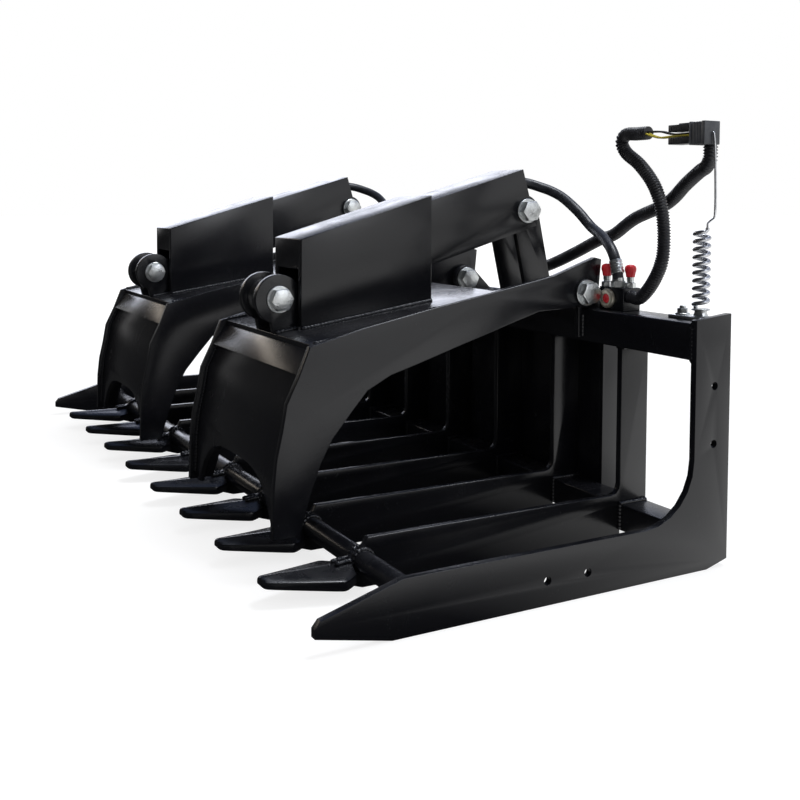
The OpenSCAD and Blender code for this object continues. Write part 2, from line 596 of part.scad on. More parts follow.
module clamp_top(c) color(steel_black) at_ground()
    slab(c * clamp_x - clamp_inner / 2, clamp_inner) polygon([top_front, top_back,
        [top_back[0], top_back[1] - top_plate_t], [top_front[0] + front_plate_t, top_front[1] - top_plate_t],
        [top_front[0], top_front[1] - top_plate_t]]);
module clamp_top_right() clamp_top(1);
module clamp_top_left() clamp_top(-1);

// Front plate: a lip above, then a set back plate with an arched cut-out
front_set = 12;         // front plate behind the side plates' front edges
arch_half_share = 0.44; // half width of the arch over the clamp's inner width
arch_up = 84;           // top of the arch above the tines
arch_power = 4;         // power of the arch's curve
arch_steps = 8;
front_last = 6;         // last outline point that the front plate follows
function front_point(i, back) = reach_point(clamp_shares[i]) + [front_set + back, 0];
module clamp_front(c) color(steel_black) at_ground() difference() {
    slab(c * clamp_x - clamp_inner / 2, clamp_inner) polygon(concat(
        [top_front + [0, -top_plate_t], reach_point(clamp_shares[1]) + [rest_gap, 0]],
        [for (i = [1:front_last]) front_point(i, 0)],
        [for (i = [front_last:-1:1]) front_point(i, front_plate_t)],
        [top_front + [front_set + front_plate_t, -top_plate_t]]));
    translate([c * clamp_x, 0, 0]) rotate([90, 0, 0]) translate([0, 0, -pivot_y]) linear_extrude(pivot_y)
        polygon(concat([[-clamp_inner * arch_half_share, 0]],
            [for (k = [-arch_steps:arch_steps]) [clamp_inner * arch_half_share * k / arch_steps,
                (tine_h + arch_up) * (1 - pow(abs(k) / arch_steps, arch_power) / 2)]],
            [[clamp_inner * arch_half_share, 0]]));
}
module clamp_front_right() clamp_front(1);
module clamp_front_left() clamp_front(-1);

module rod_ears(c) color(steel_black) at_ground() for (s = [-1, 1])
    slab(c * clamp_x + (s > 0 ? rod_half : -rod_half - rod_ear_t), rod_ear_t) difference() {
        union() {
            translate([rod_y, rod_z]) circle(r = rod_ear_r, $fn = round_fn);
            polygon([[top_front[0], top_front[1]], [rod_y + rod_ear_r, top_at(rod_y + rod_ear_r)],
                [rod_y + rod_ear_r, rod_z], [top_front[0] - corner_r, rod_z - rod_ear_r / 2]]);
        }
        translate([rod_y, rod_z]) circle(r = bolt_d / 2 + fit_gap, $fn = round_fn);
        polygon([[0, top_front[1] - rod_ear_r * 2], [rod_y + 2 * rod_ear_r, top_front[1] - rod_ear_r * 2],
            [rod_y + 2 * rod_ear_r, top_at(rod_y + 2 * rod_ear_r)], [0, top_at(0)]]);
    }
module rod_ears_right() rod_ears(1);
module rod_ears_left() rod_ears(-1);

module clamp_bushes(c) color(steel_black) at_ground() for (s = [-1, 1]) {
    x_out = c * clamp_x + s * clamp_w / 2;
    x0 = min(x_out + s * bush_over, x_out - s * (plate_t + bush_over));
    difference() {
        bar_x(x0, pivot_y, pivot_z, bush_r, plate_t + 2 * bush_over);
        bar_x(x0 - over, pivot_y, pivot_z, bolt_d / 2 + fit_gap, plate_t + 2 * bush_over + 2 * over);
    }
}
module clamp_bushes_right() clamp_bushes(1);
module clamp_bushes_left() clamp_bushes(-1);
module clamp_bolts(c) color(zinc) at_ground()
    cross_bolt(c * clamp_x - rod_half - rod_ear_t, 2 * (rod_half + rod_ear_t), rod_y, rod_z, bolt_d, bolt_af);
module clamp_bolts_right() clamp_bolts(1);
module clamp_bolts_left() clamp_bolts(-1);

// Sheet metal hoods over the cylinders
hood_lead = 35;         // front face of the front hood behind the rod bolt
hood_l = 277;           // length of the front hood
notch_half = 48;        // half width of the notch for the rod ears
notch_up = 54;          // top of that notch above the rod bolt
hood_front_y = rod_y + hood_lead;
hood_back_y = hood_front_y + hood_l;
hood_back = 13;         // rear hood behind the base bolt
hood_reach = 290;       // rear hood ahead of the base bolt
bracket_s = 200;        // bracket that carries the rear hood on the barrel
bracket_t = 6;          // thickness of that bracket
function line_at(y) = base_z + (y - base_y) * tan(cyl_tilt);
function hood_line(y, p) = line_at(y) + p / cos(cyl_tilt);
module front_hood(c) color(steel_black) at_ground() difference() {
    slab(c * clamp_x - hood_half, 2 * hood_half) polygon([[hood_front_y, top_at(hood_front_y)],
        [hood_back_y, top_at(hood_back_y)], [hood_back_y, hood_line(hood_back_y, hood_top + hood_t)],
        [hood_front_y, hood_line(hood_front_y, hood_top + hood_t)]]);
    slab(c * clamp_x - hood_half + hood_t, 2 * hood_half - 2 * hood_t) polygon([
        [hood_front_y + hood_t, top_at(hood_front_y) - over], [hood_back_y + over, top_at(hood_back_y) - over],
        [hood_back_y + over, hood_line(hood_back_y + over, hood_top)],
        [hood_front_y + hood_t, hood_line(hood_front_y + hood_t, hood_top)]]);
    translate([c * clamp_x - notch_half, hood_front_y - over, 0])
        cube([2 * notch_half, over + 2 * hood_t, rod_z + notch_up]);
}
module front_hood_right() front_hood(1);
module front_hood_left() front_hood(-1);

// Local frame of a cylinder: z runs forward along it, y upwards across it
module along_cylinder(c) at_ground()
    translate([c * clamp_x, base_y, base_z]) rotate([90 + cyl_tilt, 0, 0]) children();
module rear_hood(c) color(steel_black) along_cylinder(c) {
    difference() {
        translate([-hood_in_half, -rear_low, -hood_back])
            cube([2 * hood_in_half, rear_top + rear_low, hood_reach + hood_back]);
        translate([-hood_in_half + hood_t, -rear_low - over, -hood_back - over])
            cube([2 * hood_in_half - 2 * hood_t, rear_top + rear_low - hood_t + over,
                hood_reach + hood_back + 2 * over]);
        bar_x(-hood_in_half - over, 0, 0, bolt_d / 2 + hole_gap, 2 * hood_in_half + 2 * over);
    }
    difference() {
        translate([-hood_in_half + hood_t, 0, bracket_s])
            cube([2 * hood_in_half - 2 * hood_t, rear_top - hood_t, bracket_t]);
        translate([0, 0, bracket_s - over])
            cylinder(d = barrel_d + 2 * fit_gap, h = 2 * over + bracket_t, $fn = round_fn);
    }
}
module rear_hood_right() rear_hood(1);
module rear_hood_left() rear_hood(-1);

// Hydraulic cylinder: barrel with base eye and port, gland, rod with piston and eye
bore_d = barrel_d - 2 * tube_wall;
bore_start = 60;        // start of the bore from the base bolt
gland_in = 28;          // length of the gland inside the barrel
gland_out = 10;         // length of the gland's flange
piston_l = 22;          // length of the piston
flange_over = 2.5;      // gland's flange over the barrel
piston_back = 20;       // piston behind the gland at rest
eye_half = 34;          // half width of the base eye
rod_eye_half = 28;      // half width of the rod eye
module barrel(c) color(steel_black) along_cylinder(c) difference() {
    union() {
        cylinder(d = barrel_d, h = barrel_l, $fn = round_fn);
        bar_x(-eye_half, 0, 0, barrel_d / 2, 2 * eye_half);
        rotate([-90, 0, 0]) cylinder(r = port_r, h = port_top, $fn = round_fn);
    }
    translate([0, 0, bore_start]) cylinder(d = bore_d, h = barrel_l, $fn = round_fn);
    bar_x(-eye_half - over, 0, 0, bolt_d / 2 + fit_gap, 2 * eye_half + 2 * over);
}
module barrel_right() barrel(1);
module barrel_left() barrel(-1);
module gland(c) color(zinc) along_cylinder(c) difference() {
    union() {
        translate([0, 0, barrel_l - gland_in])
            cylinder(d = bore_d - 2 * fit_gap, h = gland_in, $fn = round_fn);
        translate([0, 0, barrel_l]) cylinder(d = barrel_d + 2 * flange_over, h = gland_out, $fn = round_fn);
    }
    translate([0, 0, barrel_l - gland_in - over])
        cylinder(r = rod_d / 2 + fit_gap, h = barrel_l, $fn = round_fn);
}
module gland_right() gland(1);
module gland_left() gland(-1);
module rod(c) color(zinc) along_cylinder(c) {
    piston_s = barrel_l - gland_in - piston_back - piston_l;
    translate([0, 0, piston_s]) cylinder(d = bore_d - 2 * fit_gap, h = piston_l, $fn = round_fn);
    difference() {
        union() {
            translate([0, 0, piston_s]) cylinder(d = rod_d, h = cyl_l - piston_s, $fn = round_fn);
            bar_x(-rod_eye_half, 0, cyl_l, eye_r, 2 * rod_eye_half);
        }
        bar_x(-rod_eye_half - over, 0, cyl_l, bolt_d / 2 + pin_slack, 2 * rod_eye_half + 2 * over);
    }
}
module rod_right() rod(1);
module rod_left() rod(-1);

side_plate_right();
side_plate_left();
tine_2();
tine_3();
tine_4();
tine_5();
tine_6();
tine_7();
tine_8();
tine_9();
teeth();
tie_pipe();
bottom_tube();
top_tube();
attach_plate();
attach_flanges();
pivot_ears_right();
pivot_ears_left();
cylinder_lugs_right();
cylinder_lugs_left();
pivot_bolts();
base_bolts();
manifold_block();
hydraulic_fittings();
dust_caps();
cylinder_hose_right();
cylinder_hose_left();
guarded_hose();
wire_guard();
wires();
wire_connector();
holder_spring();
holder_foot();
holder_rod();
clamp_plate_outer_right();
clamp_plate_inner_right();
clamp_front_right();
clamp_top_right();
rod_ears_right();
clamp_bushes_right();
clamp_bolts_right();
front_hood_right();
clamp_plate_outer_left();
clamp_plate_inner_left();
clamp_front_left();
clamp_top_left();
rod_ears_left();
clamp_bushes_left();
clamp_bolts_left();
front_hood_left();
barrel_right();
gland_right();
rear_hood_right();
rod_right();
barrel_left();
gland_left();
rear_hood_left();
rod_left();
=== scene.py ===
import bpy, bmesh, json, math
from mathutils import Vector, Matrix


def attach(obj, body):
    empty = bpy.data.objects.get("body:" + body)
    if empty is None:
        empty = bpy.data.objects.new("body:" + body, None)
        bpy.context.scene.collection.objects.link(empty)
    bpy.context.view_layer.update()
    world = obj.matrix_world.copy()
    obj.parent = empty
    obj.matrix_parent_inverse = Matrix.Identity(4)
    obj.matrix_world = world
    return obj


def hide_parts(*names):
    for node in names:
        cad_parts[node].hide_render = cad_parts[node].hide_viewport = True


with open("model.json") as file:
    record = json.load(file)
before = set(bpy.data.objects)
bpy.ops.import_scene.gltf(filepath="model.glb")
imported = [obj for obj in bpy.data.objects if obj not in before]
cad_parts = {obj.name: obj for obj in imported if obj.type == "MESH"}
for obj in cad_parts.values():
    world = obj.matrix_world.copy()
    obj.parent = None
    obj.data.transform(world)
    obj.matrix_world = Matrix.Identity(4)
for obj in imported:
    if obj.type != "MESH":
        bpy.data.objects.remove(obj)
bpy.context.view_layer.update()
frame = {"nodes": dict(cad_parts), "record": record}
home = {node: body for body, nodes in frame["record"]["behaviour"]["bodies"].items() for node in nodes}


# Camera: stands low off the right front corner of the rake, as far off as a person with a long lens,
# and looks over the near clamp at the far end of the tooth row.
back = Vector((0.87893, -0.47419, 0.05125)).normalized()
level = (-back).cross(Vector((0, 0, 1))).normalized()
above = level.cross(-back)
roll = math.radians(0.20999)
across = level * math.cos(roll) + above * math.sin(roll)
upright = above * math.cos(roll) - level * math.sin(roll)
lens = bpy.data.cameras.new("camera")
lens.sensor_width, lens.lens, lens.shift_x, lens.shift_y = 36, 46.30, 0.02253, -0.18155
lens.clip_end = 200
camera = bpy.data.objects.new("camera", lens)
camera.matrix_world = Matrix((
    (across.x, upright.x, back.x, 2.17918), (across.y, upright.y, back.y, -0.99952),
    (across.z, upright.z, back.z, 0.62914), (0, 0, 0, 1)))
bpy.context.scene.collection.objects.link(camera)
bpy.context.scene.camera = camera


# Cylinder hoses: two steel braid hydraulic hoses with a smooth black cover. Each leaves the elbow over
# its barrel's base port, bends out of the rear hood and goes down to the manifold or the top tube.
class Reading:
    """One number of a node tree that can be reckoned with."""
    def __init__(self, works, socket):
        self.works, self.socket = works, socket

    def reckon(self, work, other, turned=False):
        pair = (other, self) if turned else (self, other)
        return self.works.node("ShaderNodeMath", {"operation": work}, {0: pair[0], 1: pair[1]})

    def __add__(self, other):
        return self.reckon("ADD", other)

    def __mul__(self, other):
        return self.reckon("MULTIPLY", other)

    def __sub__(self, other):
        return self.reckon("SUBTRACT", other)

    def __rsub__(self, other):
        return self.reckon("SUBTRACT", other, True)

    __radd__, __rmul__ = __add__, __mul__

    def kept_in(self, low, high):
        """Spread from low..high over 0..1, and held there."""
        return self.works.node("ShaderNodeMapRange", {"clamp": True}, {
            0: self, 1: low, 2: high, 3: 0.0, 4: 1.0})


class Works:
    """A node tree written one node at a time."""
    def node(self, kind, settings=None, sockets=None, out=0):
        made = self.tree.nodes.new(kind)
        for name, value in (settings or {}).items():
            setattr(made, name, value)
        for name, value in (sockets or {}).items():
            if isinstance(value, Reading):
                self.tree.links.new(value.socket, made.inputs[name])
            else:
                made.inputs[name].default_value = value
        return Reading(self, made.outputs[out])


class Finish(Works):
    """A paint, plating or moulding on the object's own coordinates."""
    def __init__(self, name, **fixed):
        self.material = bpy.data.materials.new(name)
        self.material.use_nodes = True
        self.tree = self.material.node_tree
        self.skin = self.tree.nodes["Principled BSDF"]
        for socket, value in fixed.items():
            self.skin.inputs[socket.replace("_", " ")].default_value = value
        self.place = self.node("ShaderNodeTexCoord", {}, {}, "Object")

    def cloud(self, size, detail=2.0, rough=0.5, place=None, twist=0.0):
        """Soft spots of about that size in metres."""
        return self.node("ShaderNodeTexNoise", {}, {
            "Vector": place or self.place, "Scale": 1 / size, "Detail": detail, "Roughness": rough,
            "Distortion": twist})

    def grains(self, size):
        """Distance from scattered points about that far apart, 0 at each point."""
        return self.node("ShaderNodeTexVoronoi", {}, {"Vector": self.place, "Scale": 1 / size})

    def between(self, share, low, high):
        """A colour from low to high."""
        return self.node("ShaderNodeMix", {"data_type": "RGBA"}, {
            0: share, 6: low if isinstance(low, Reading) else low + (1,),
            7: high if isinstance(high, Reading) else high + (1,)}, 2)

    def lie(self, height, depth):
        """Raises the surface by height times depth in metres."""
        self.coat_on("Normal", self.node("ShaderNodeBump", {}, {
            "Height": height, "Strength": 1.0, "Distance": depth}))

    def coat_on(self, socket, reading):
        self.tree.links.new(reading.socket, self.skin.inputs[socket])


def smooth_route(route, steps):
    """Points on a smooth curve through the route, as the hoses' solids have them."""
    points = []
    for i in range(len(route) - 1):
        a, b, c, d = (Vector(route[max(0, min(len(route) - 1, j))]) for j in (i - 1, i, i + 1, i + 2))
        for t in (k / steps for k in range(steps)):
            points.append(0.5 * (2 * b + (c - a) * t + (2 * a - 5 * b + 4 * c - d) * t * t
                                 + (3 * b - a - 3 * c + d) * t ** 3))
    return points + [Vector(route[-1])]


def led(route, steps, before, behind):
    """The smooth curve with a straight bit before and behind it."""
    return ([Vector(route[0]) + Vector(before)] + smooth_route(route, steps)
            + [Vector(route[-1]) + Vector(behind)])


def length_of(points):
    return sum((b - a).length for a, b in zip(points, points[1:]))


def frames_along(points):
    """A direction and two sides at each point, without a twist between them."""
    found, side = [], None
    for i, point in enumerate(points):
        ahead = (points[min(i + 1, len(points) - 1)] - points[max(i - 1, 0)]).normalized()
        side = ahead.orthogonal() if side is None else side - side.dot(ahead) * ahead
        side.normalize()
        found.append((point, ahead, side.copy(), ahead.cross(side)))
    return found


def settle(name, mesh, finish, body, stands_for=(), smooth=40):
    """Puts a finished piece into the scene, on the body that it moves with."""
    mesh.materials.clear()
    mesh.materials.append(finish.material)
    mesh.set_sharp_from_angle(angle=math.radians(smooth))
    piece = bpy.data.objects.new(name, mesh)
    bpy.context.scene.collection.objects.link(piece)
    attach(piece, body)
    if stands_for:
        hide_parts(*stands_for)
    return piece


def tube_mesh(name, points, radius, sides=20):
    """A closed round tube along points, its map runs round it and along it in metres."""
    rings = frames_along(points)
    corners = [p + radius * (math.cos(a) * u + math.sin(a) * v) for p, _, u, v in rings
               for a in (2 * math.pi * k / sides for k in range(sides))]
    last = (len(rings) - 1) * sides
    around = [(k, (k + 1) % sides) for k in range(sides)]
    faces = [(j * sides + k, j * sides + n, (j + 1) * sides + n, (j + 1) * sides + k)
             for j in range(len(rings) - 1) for k, n in around]
    faces += [tuple(range(sides))[::-1], tuple(range(last, last + sides))]
    mesh = bpy.data.meshes.new(name)
    mesh.from_pydata([tuple(c) for c in corners], [], faces)
    run = [0.0]
    for a, b in zip(points, points[1:]):
        run.append(run[-1] + (b - a).length)
    chart = mesh.uv_layers.new(name="along")
    for face in mesh.polygons:
        for loop in face.loop_indices:
            corner = mesh.loops[loop].vertex_index
            ring, k = divmod(corner, sides)
            if len(face.vertices) == 4 and k == 0 and max(v % sides for v in face.vertices) == sides - 1:
                k = sides
            chart.data[loop].uv = (k / sides, run[ring])
    return mesh


half_depth = 420    # from the tooth tips to the middle of the footprint


def in_frame(x, y, z):
    """A point given in mm from the rake's middle, the tooth tips and the ground."""
    return Vector((x, y - half_depth, z)) / 1000


both_sides = (("right", 1), ("left", -1))
clamp_x = 403.622
base_y, base_z = 688, 612
hose_port_x, port_y, block_top = 673.622, 744, 468.5    # where the right hose meets the manifold
stub = 3
hose_r = 0.0105
hose_lead = [(0, -3, 60.5), (2, 15, 60.5), (9, 36, 57), (22, 55, 50), (41, 71, 41), (68, 81, 27)]
hose_ways = {
    "right": hose_lead + [(112, 84, 0), (149, 89, -31), (202, 75.5, -51), (248, 59.5, -76), (268, 54.5, -109),
                          (270, 56, -140.5)],
    "left": hose_lead + [(104, 82, 2), (134, 79, -36), (153, 74, -84), (160, 70, -136), (160, 70, -184.5)]}

cover = Finish("hose cover", IOR=1.48)
chart = cover.node("ShaderNodeUVMap", {"uv_map": "along"})
weave = cover.node("ShaderNodeMapping", {}, {"Vector": chart, "Scale": (34.0, 900.0, 1.0)})
wrap = cover.cloud(1.0, 3.0, 0.6, place=weave)
rub = cover.cloud(0.011, 4.0, 0.6)
fleck = cover.grains(0.0028)
spots = 1 - fleck.kept_in(0.10, 0.22)
cover.coat_on("Base Color", cover.between(
    rub.kept_in(0.35, 0.75), (0.011, 0.012, 0.016), (0.033, 0.035, 0.044)))
cover.coat_on("Roughness", (wrap * 0.12 + rub * 0.20 + spots * 0.18) + 0.20)
cover.lie(wrap * 0.5 - spots * 0.6, 0.0004)

hoses, hose_points = {}, {}
for side, turn in both_sides:
    route = [in_frame(turn * clamp_x + x, base_y + y, base_z + z) for x, y, z in hose_ways[side]]
    if side == "right":
        route[-1] = in_frame(hose_port_x, port_y, block_top + stub)
    points = led(route, 8, (0, -stub / 1000, 0), (0, 0, -stub / 1000))
    hose = settle("hydraulic_hose_" + side, tube_mesh("hydraulic_hose_" + side, points, hose_r), cover,
                  "frame", ["cylinder_hose_" + side], smooth=60)
    hoses[side], hose_points[side] = hose, points


# Crimped ferrules: zinc plated sleeves pressed on the ends of the cylinder hoses, with three pressed
# bands each, and a swivel nut where the hose goes down into the manifold or the tube.
zinc = Finish("zinc plating", Metallic=1.0)
flake = zinc.grains(0.004)
haze = zinc.cloud(0.02, 4.0, 0.55)
scuff = zinc.cloud(0.0016, 2.0)
zinc.coat_on("Base Color", zinc.between(
    haze.kept_in(0.3, 0.7) * 0.7 + flake * 0.3, (0.52, 0.54, 0.55), (0.82, 0.84, 0.83)))
zinc.coat_on("Roughness", haze * 0.20 + scuff * 0.14 + 0.14)
zinc.lie(scuff * 0.6 + flake * 0.8, 0.00040)


def turned(body, base, axis, profile, sides=32):
    """Turns a profile of (distance along the axis, radius) into a closed solid."""
    axis = Vector(axis).normalized()
    side = axis.orthogonal().normalized()
    other = axis.cross(side)
    rings = []
    for s, r in profile:
        centre = Vector(base) + axis * s
        rings.append([body.verts.new(centre)] if r == 0 else [
            body.verts.new(centre + r * (math.cos(a) * side + math.sin(a) * other))
            for a in (2 * math.pi * k / sides for k in range(sides))])
    for low, high in zip(rings, rings[1:]):
        for k in range(sides):
            n = (k + 1) % sides
            ring = [low[k % len(low)], low[n % len(low)], high[n % len(high)], high[k % len(high)]]
            corners = [c for i, c in enumerate(ring) if c not in ring[:i]]
            if len(corners) > 2:
                body.faces.new(corners)
    for ring in (rings[0], rings[-1]):
        if len(ring) > 1:
            body.faces.new(ring)


def hexagon(body, base, axis, flats, height, low_cut=False, high_cut=True, turn=0.0):
    """A hexagon with its corners turned off at one or both ends, as on a nut."""
    axis = Vector(axis).normalized()
    side = axis.orthogonal().normalized()
    other = axis.cross(side)
    sides, face_r = 48, flats / 2 * 0.97
    rings = []
    for end, cut in ((0, low_cut), (1, high_cut)):
        edge = []
        for k in range(sides):
            a = 2 * math.pi * k / sides
            r = flats / 2 / math.cos((a % (math.pi / 3)) - math.pi / 6)
            drop = (r - face_r) * 0.55 if cut else 0.0
            s = height - drop if end else drop
            edge.append((s, r, a + turn))
        flat = [(height * end, face_r, a) for _, _, a in edge]
        rings += ([edge] if not cut else [edge, flat] if end else [flat, edge])
    grown = [[body.verts.new(Vector(base) + axis * s + r * (math.cos(a) * side + math.sin(a) * other))
              for s, r, a in ring] for ring in rings]
    for low, high in zip(grown, grown[1:]):
        for k in range(sides):
            n = (k + 1) % sides
            body.faces.new((low[k], low[n], high[n], high[k]))
    body.faces.new(grown[0])
    body.faces.new(grown[-1])


def closed_mesh(name, body):
    """The mesh of a body, its faces turned outwards."""
    bmesh.ops.recalc_face_normals(body, faces=body.faces)
    mesh = bpy.data.meshes.new(name)
    body.to_mesh(mesh)
    body.free()
    return mesh


sleeve_l, sleeve_back = 0.027, 0.040    # length of a sleeve, and its middle from the hose's end
sleeve = [(0, 0.0102), (0.0004, 0.0122), (0.0016, 0.0126)]
for k in range(3):
    s = 0.005 + 0.0062 * k
    sleeve += [(s, 0.0126), (s + 0.0007, 0.0119), (s + 0.0033, 0.0119), (s + 0.0040, 0.0126)]
sleeve += [(0.0262, 0.0126), (0.0268, 0.0122), (sleeve_l, 0.0102)]
for side in ("right", "left"):
    body = bmesh.new()
    points = hose_points[side]
    turned(body, points[0] + Vector((0, 0.0006, 0)), (0, 1, 0), [
        (0, 0.0098), (0.0003, 0.0118), (0.0105, 0.0118), (0.011, 0.0108)])
    found = frames_along(points)
    walked, place = 0.0, None
    for i in range(len(points) - 1, 0, -1):
        walked += (points[i] - points[i - 1]).length
        if walked > sleeve_back:
            place = found[i]
            break
    turned(body, place[0] - place[1] * (sleeve_l / 2), place[1], sleeve)
    hexagon(body, points[-1] + Vector((0, 0, 0.0005)), (0, 0, 1), 0.0236, 0.0125, True, True)
    turned(body, points[-1] + Vector((0, 0, 0.0128)), (0, 0, 1), [
        (0, 0.0106), (0.0002, 0.0116), (0.006, 0.0113), (0.0066, 0.0106)])
    ferrules = settle("hose_ferrules_" + side, closed_mesh("hose_ferrules_" + side, body), zinc, "frame",
                      smooth=35)
    length_of(hose_points[side])


# Hose guard and wire guard: ribbed black plastic loom, split along its length and slipped over the
# auxiliary hose and over the wires of the electric plug.
class Recipe(Works):
    """A Geometry Nodes tree with named inputs for its sizes."""
    def __init__(self, name, **inputs):
        self.tree = bpy.data.node_groups.new(name, "GeometryNodeTree")
        self.tree.is_modifier = True
        self.tree.interface.new_socket("Geometry", in_out="INPUT", socket_type="NodeSocketGeometry")
        for label, value in inputs.items():
            kind = "Int" if isinstance(value, int) else "Float" if isinstance(value, float) else value
            socket = self.tree.interface.new_socket(label, in_out="INPUT", socket_type="NodeSocket" + kind)
            if kind in ("Int", "Float"):
                socket.default_value = value
        self.tree.interface.new_socket("Geometry", in_out="OUTPUT", socket_type="NodeSocketGeometry")
        self.given = self.tree.nodes.new("NodeGroupInput")
        self.result = self.tree.nodes.new("NodeGroupOutput")

    def want(self, label):
        return Reading(self, self.given.outputs[label])

    def end(self, geometry, finish):
        """Makes copies real, gives them their finish and hands them out."""
        real = self.node("GeometryNodeRealizeInstances", {}, {0: geometry})
        dressed = self.node("GeometryNodeSetMaterial", {}, {"Geometry": real, "Material": finish})
        self.tree.links.new(dressed.socket, self.result.inputs[0])

    def follow(self, name, lines, **values):
        """The recipe's mesh on polylines of points."""
        corners, edges = [], []
        for line in lines:
            edges += [(len(corners) + i, len(corners) + i + 1) for i in range(len(line) - 1)]
            corners += [tuple(p) for p in line]
        guide = bpy.data.objects.new(name, bpy.data.meshes.new(name + "_guide"))
        guide.data.from_pydata(corners, edges, [])
        bpy.context.scene.collection.objects.link(guide)
        step = guide.modifiers.new("recipe", "NODES")
        step.node_group = self.tree
        for item in self.tree.interface.items_tree:
            if item.in_out == "INPUT" and item.name in values:
                step[item.identifier] = values[item.name]
        seen = bpy.context.evaluated_depsgraph_get()
        mesh = bpy.data.meshes.new_from_object(guide.evaluated_get(seen), depsgraph=seen)
        bpy.data.objects.remove(guide)
        return mesh


loom_plastic = Finish("loom plastic", IOR=1.5)
age = loom_plastic.cloud(0.03, 3.0)
rubbed = loom_plastic.cloud(0.005, 3.0, 0.6)
loom_plastic.coat_on("Base Color", loom_plastic.between(
    age.kept_in(0.35, 0.7), (0.010, 0.010, 0.013), (0.022, 0.022, 0.027)))
loom_plastic.coat_on("Roughness", age * 0.15 + rubbed * 0.20 + 0.25)
loom_plastic.lie(rubbed, 0.0002)

ribs = Recipe("loom ribs", Radius=0.0125, Rib_depth=0.002, Rib_pitch=0.0052, Finish="Material")
line = ribs.node("GeometryNodeMeshToCurve", {}, {"Mesh": ribs.want("Geometry")})
fine = ribs.node("GeometryNodeResampleCurve", {"mode": "LENGTH"}, {"Curve": line, "Length": 0.00085})
run = ribs.node("GeometryNodeSplineParameter", {}, {}, "Length")
full_turn = 6.2832
phase = run.reckon("DIVIDE", ribs.want("Rib_pitch")) * full_turn
wave = ribs.node("ShaderNodeMath", {"operation": "COSINE"}, {0: phase})
rib = (1 - wave) * 0.5
flat_top = rib.kept_in(0.15, 0.6)
ring = ribs.node("GeometryNodeCurvePrimitiveCircle", {}, {"Resolution": 18, "Radius": 1.0})
skin = ribs.node("GeometryNodeCurveToMesh", {}, {
    "Curve": fine, "Profile Curve": ring, "Scale": ribs.want("Radius") - flat_top * ribs.want("Rib_depth"),
    "Fill Caps": True})
smoothed = ribs.node("GeometryNodeSetShadeSmooth", {}, {"Geometry": skin})
ribs.end(smoothed, ribs.want("Finish"))

side_x = 908.15
back_y, tube_top = 786, 424.5
block_x, block_w = 631.622, 68
guard_near = [(-74, -34, stub), (-74, -34, 26), (-60, -20, 48), (-3, 10, 72), (72, 14, 100), (149, 14, 130)]
guard_far = [(-312, 14, 142), (-251, 12, 174), (-157, 4, 204), (-95, -10, 239), (-54, -19, 260),
             (-31, -28, 267), (-19, -32, 280), (-18, -32, 301)]
wire_near = [(stub, -34, 28), (26, -34, 28), (60, -36, 58)]
wire_far = [(-123, -38, 102), (-118, -40, 156), (-126, -41, 202), (-146, -41, 240), (-181, -42, 275),
            (-216, -43, 298), (-228, -44, 318), (-216, -44, 332), (-187, -44, 332), (-160, -44, 332)]


def from_x(x, route):
    """Points given from a place along the tube, its back edge and its top."""
    return [in_frame(x + a, back_y + b, tube_top + c) for a, b, c in route]


loom_r = 0.0125
guard_points = led(from_x(clamp_x, guard_near) + from_x(side_x, guard_far), 8, (0, 0, -stub / 1000),
                   (0, 0, stub / 1000))
wire_points = led(from_x(block_x + block_w, wire_near) + from_x(side_x, wire_far), 8, (-stub / 1000, 0, 0),
                  (stub / 1000, 0, 0))
for name, node, points in (("hose_guard", "guarded_hose", guard_points),
                           ("wire_guard_loom", "wire_guard", wire_points)):
    mesh = ribs.follow(name, [points], Radius=loom_r, Finish=loom_plastic.material)
    settle(name, mesh, loom_plastic, "frame", [node], smooth=80)


# Wires: four thin insulated strands that leave the wire guard and enter the back of the plug, two
# yellow and two dark.
wire_lane = from_x(side_x, [(-157, -44, 332), (-125, -44, 327), (-91, -44, 324)])
plug_at, plug_l = wire_lane[-1], 52
wire_r, wire_gap, wire_step = 0.0018, 3.9, 3.6    # radius in m, spacing across and up in mm
strand_finishes = []
for name, dark, light in (("yellow wire", (0.42, 0.34, 0.02), (0.62, 0.52, 0.05)),
                          ("dark wire", (0.012, 0.012, 0.014), (0.03, 0.03, 0.035))):
    strand = Finish(name, IOR=1.5)
    grime = strand.cloud(0.006, 3.0)
    strand.coat_on("Base Color", strand.between(grime.kept_in(0.3, 0.7), dark, light))
    strand.coat_on("Roughness", grime * 0.3 + 0.25)
    strand_finishes.append(strand)
wires, wire_paths = [], []
for k in range(4):
    sideways = (k - 1.5) * wire_gap
    up = (k % 2 - 0.5) * wire_step
    middle = [p + Vector((0, sideways, 3 * up if i == 1 else up)) / 1000 for i, p in enumerate(wire_lane)]
    points = smooth_route(middle + [plug_at + Vector((plug_l, sideways, up)) / 1000], 8)
    wires.append(settle("wire_%d" % (k + 1), tube_mesh("wire_%d" % (k + 1), points, wire_r, 12),
                        strand_finishes[k % 2], "frame", ["wires"], smooth=60))
    wire_paths.append(points)


# Electric plug: a black plug half of two bars with the wires between them, latched into a grey socket
# half. Both are moulded glass filled nylon.
moulded = {}
for name, dark, light in (("plug nylon", (0.010, 0.011, 0.014), (0.024, 0.026, 0.032)),
                          ("socket nylon", (0.045, 0.048, 0.056), (0.085, 0.090, 0.10))):
    nylon = Finish(name, IOR=1.53)
    dapple = nylon.cloud(0.012, 4.0)
    pores = nylon.cloud(0.0006, 2.0)
    nylon.coat_on("Base Color", nylon.between(dapple.kept_in(0.3, 0.7), dark, light))
    nylon.coat_on("Roughness", dapple * 0.2 + pores * 0.1 + 0.28)
    nylon.lie(pores, 0.00008)
    moulded[name] = nylon


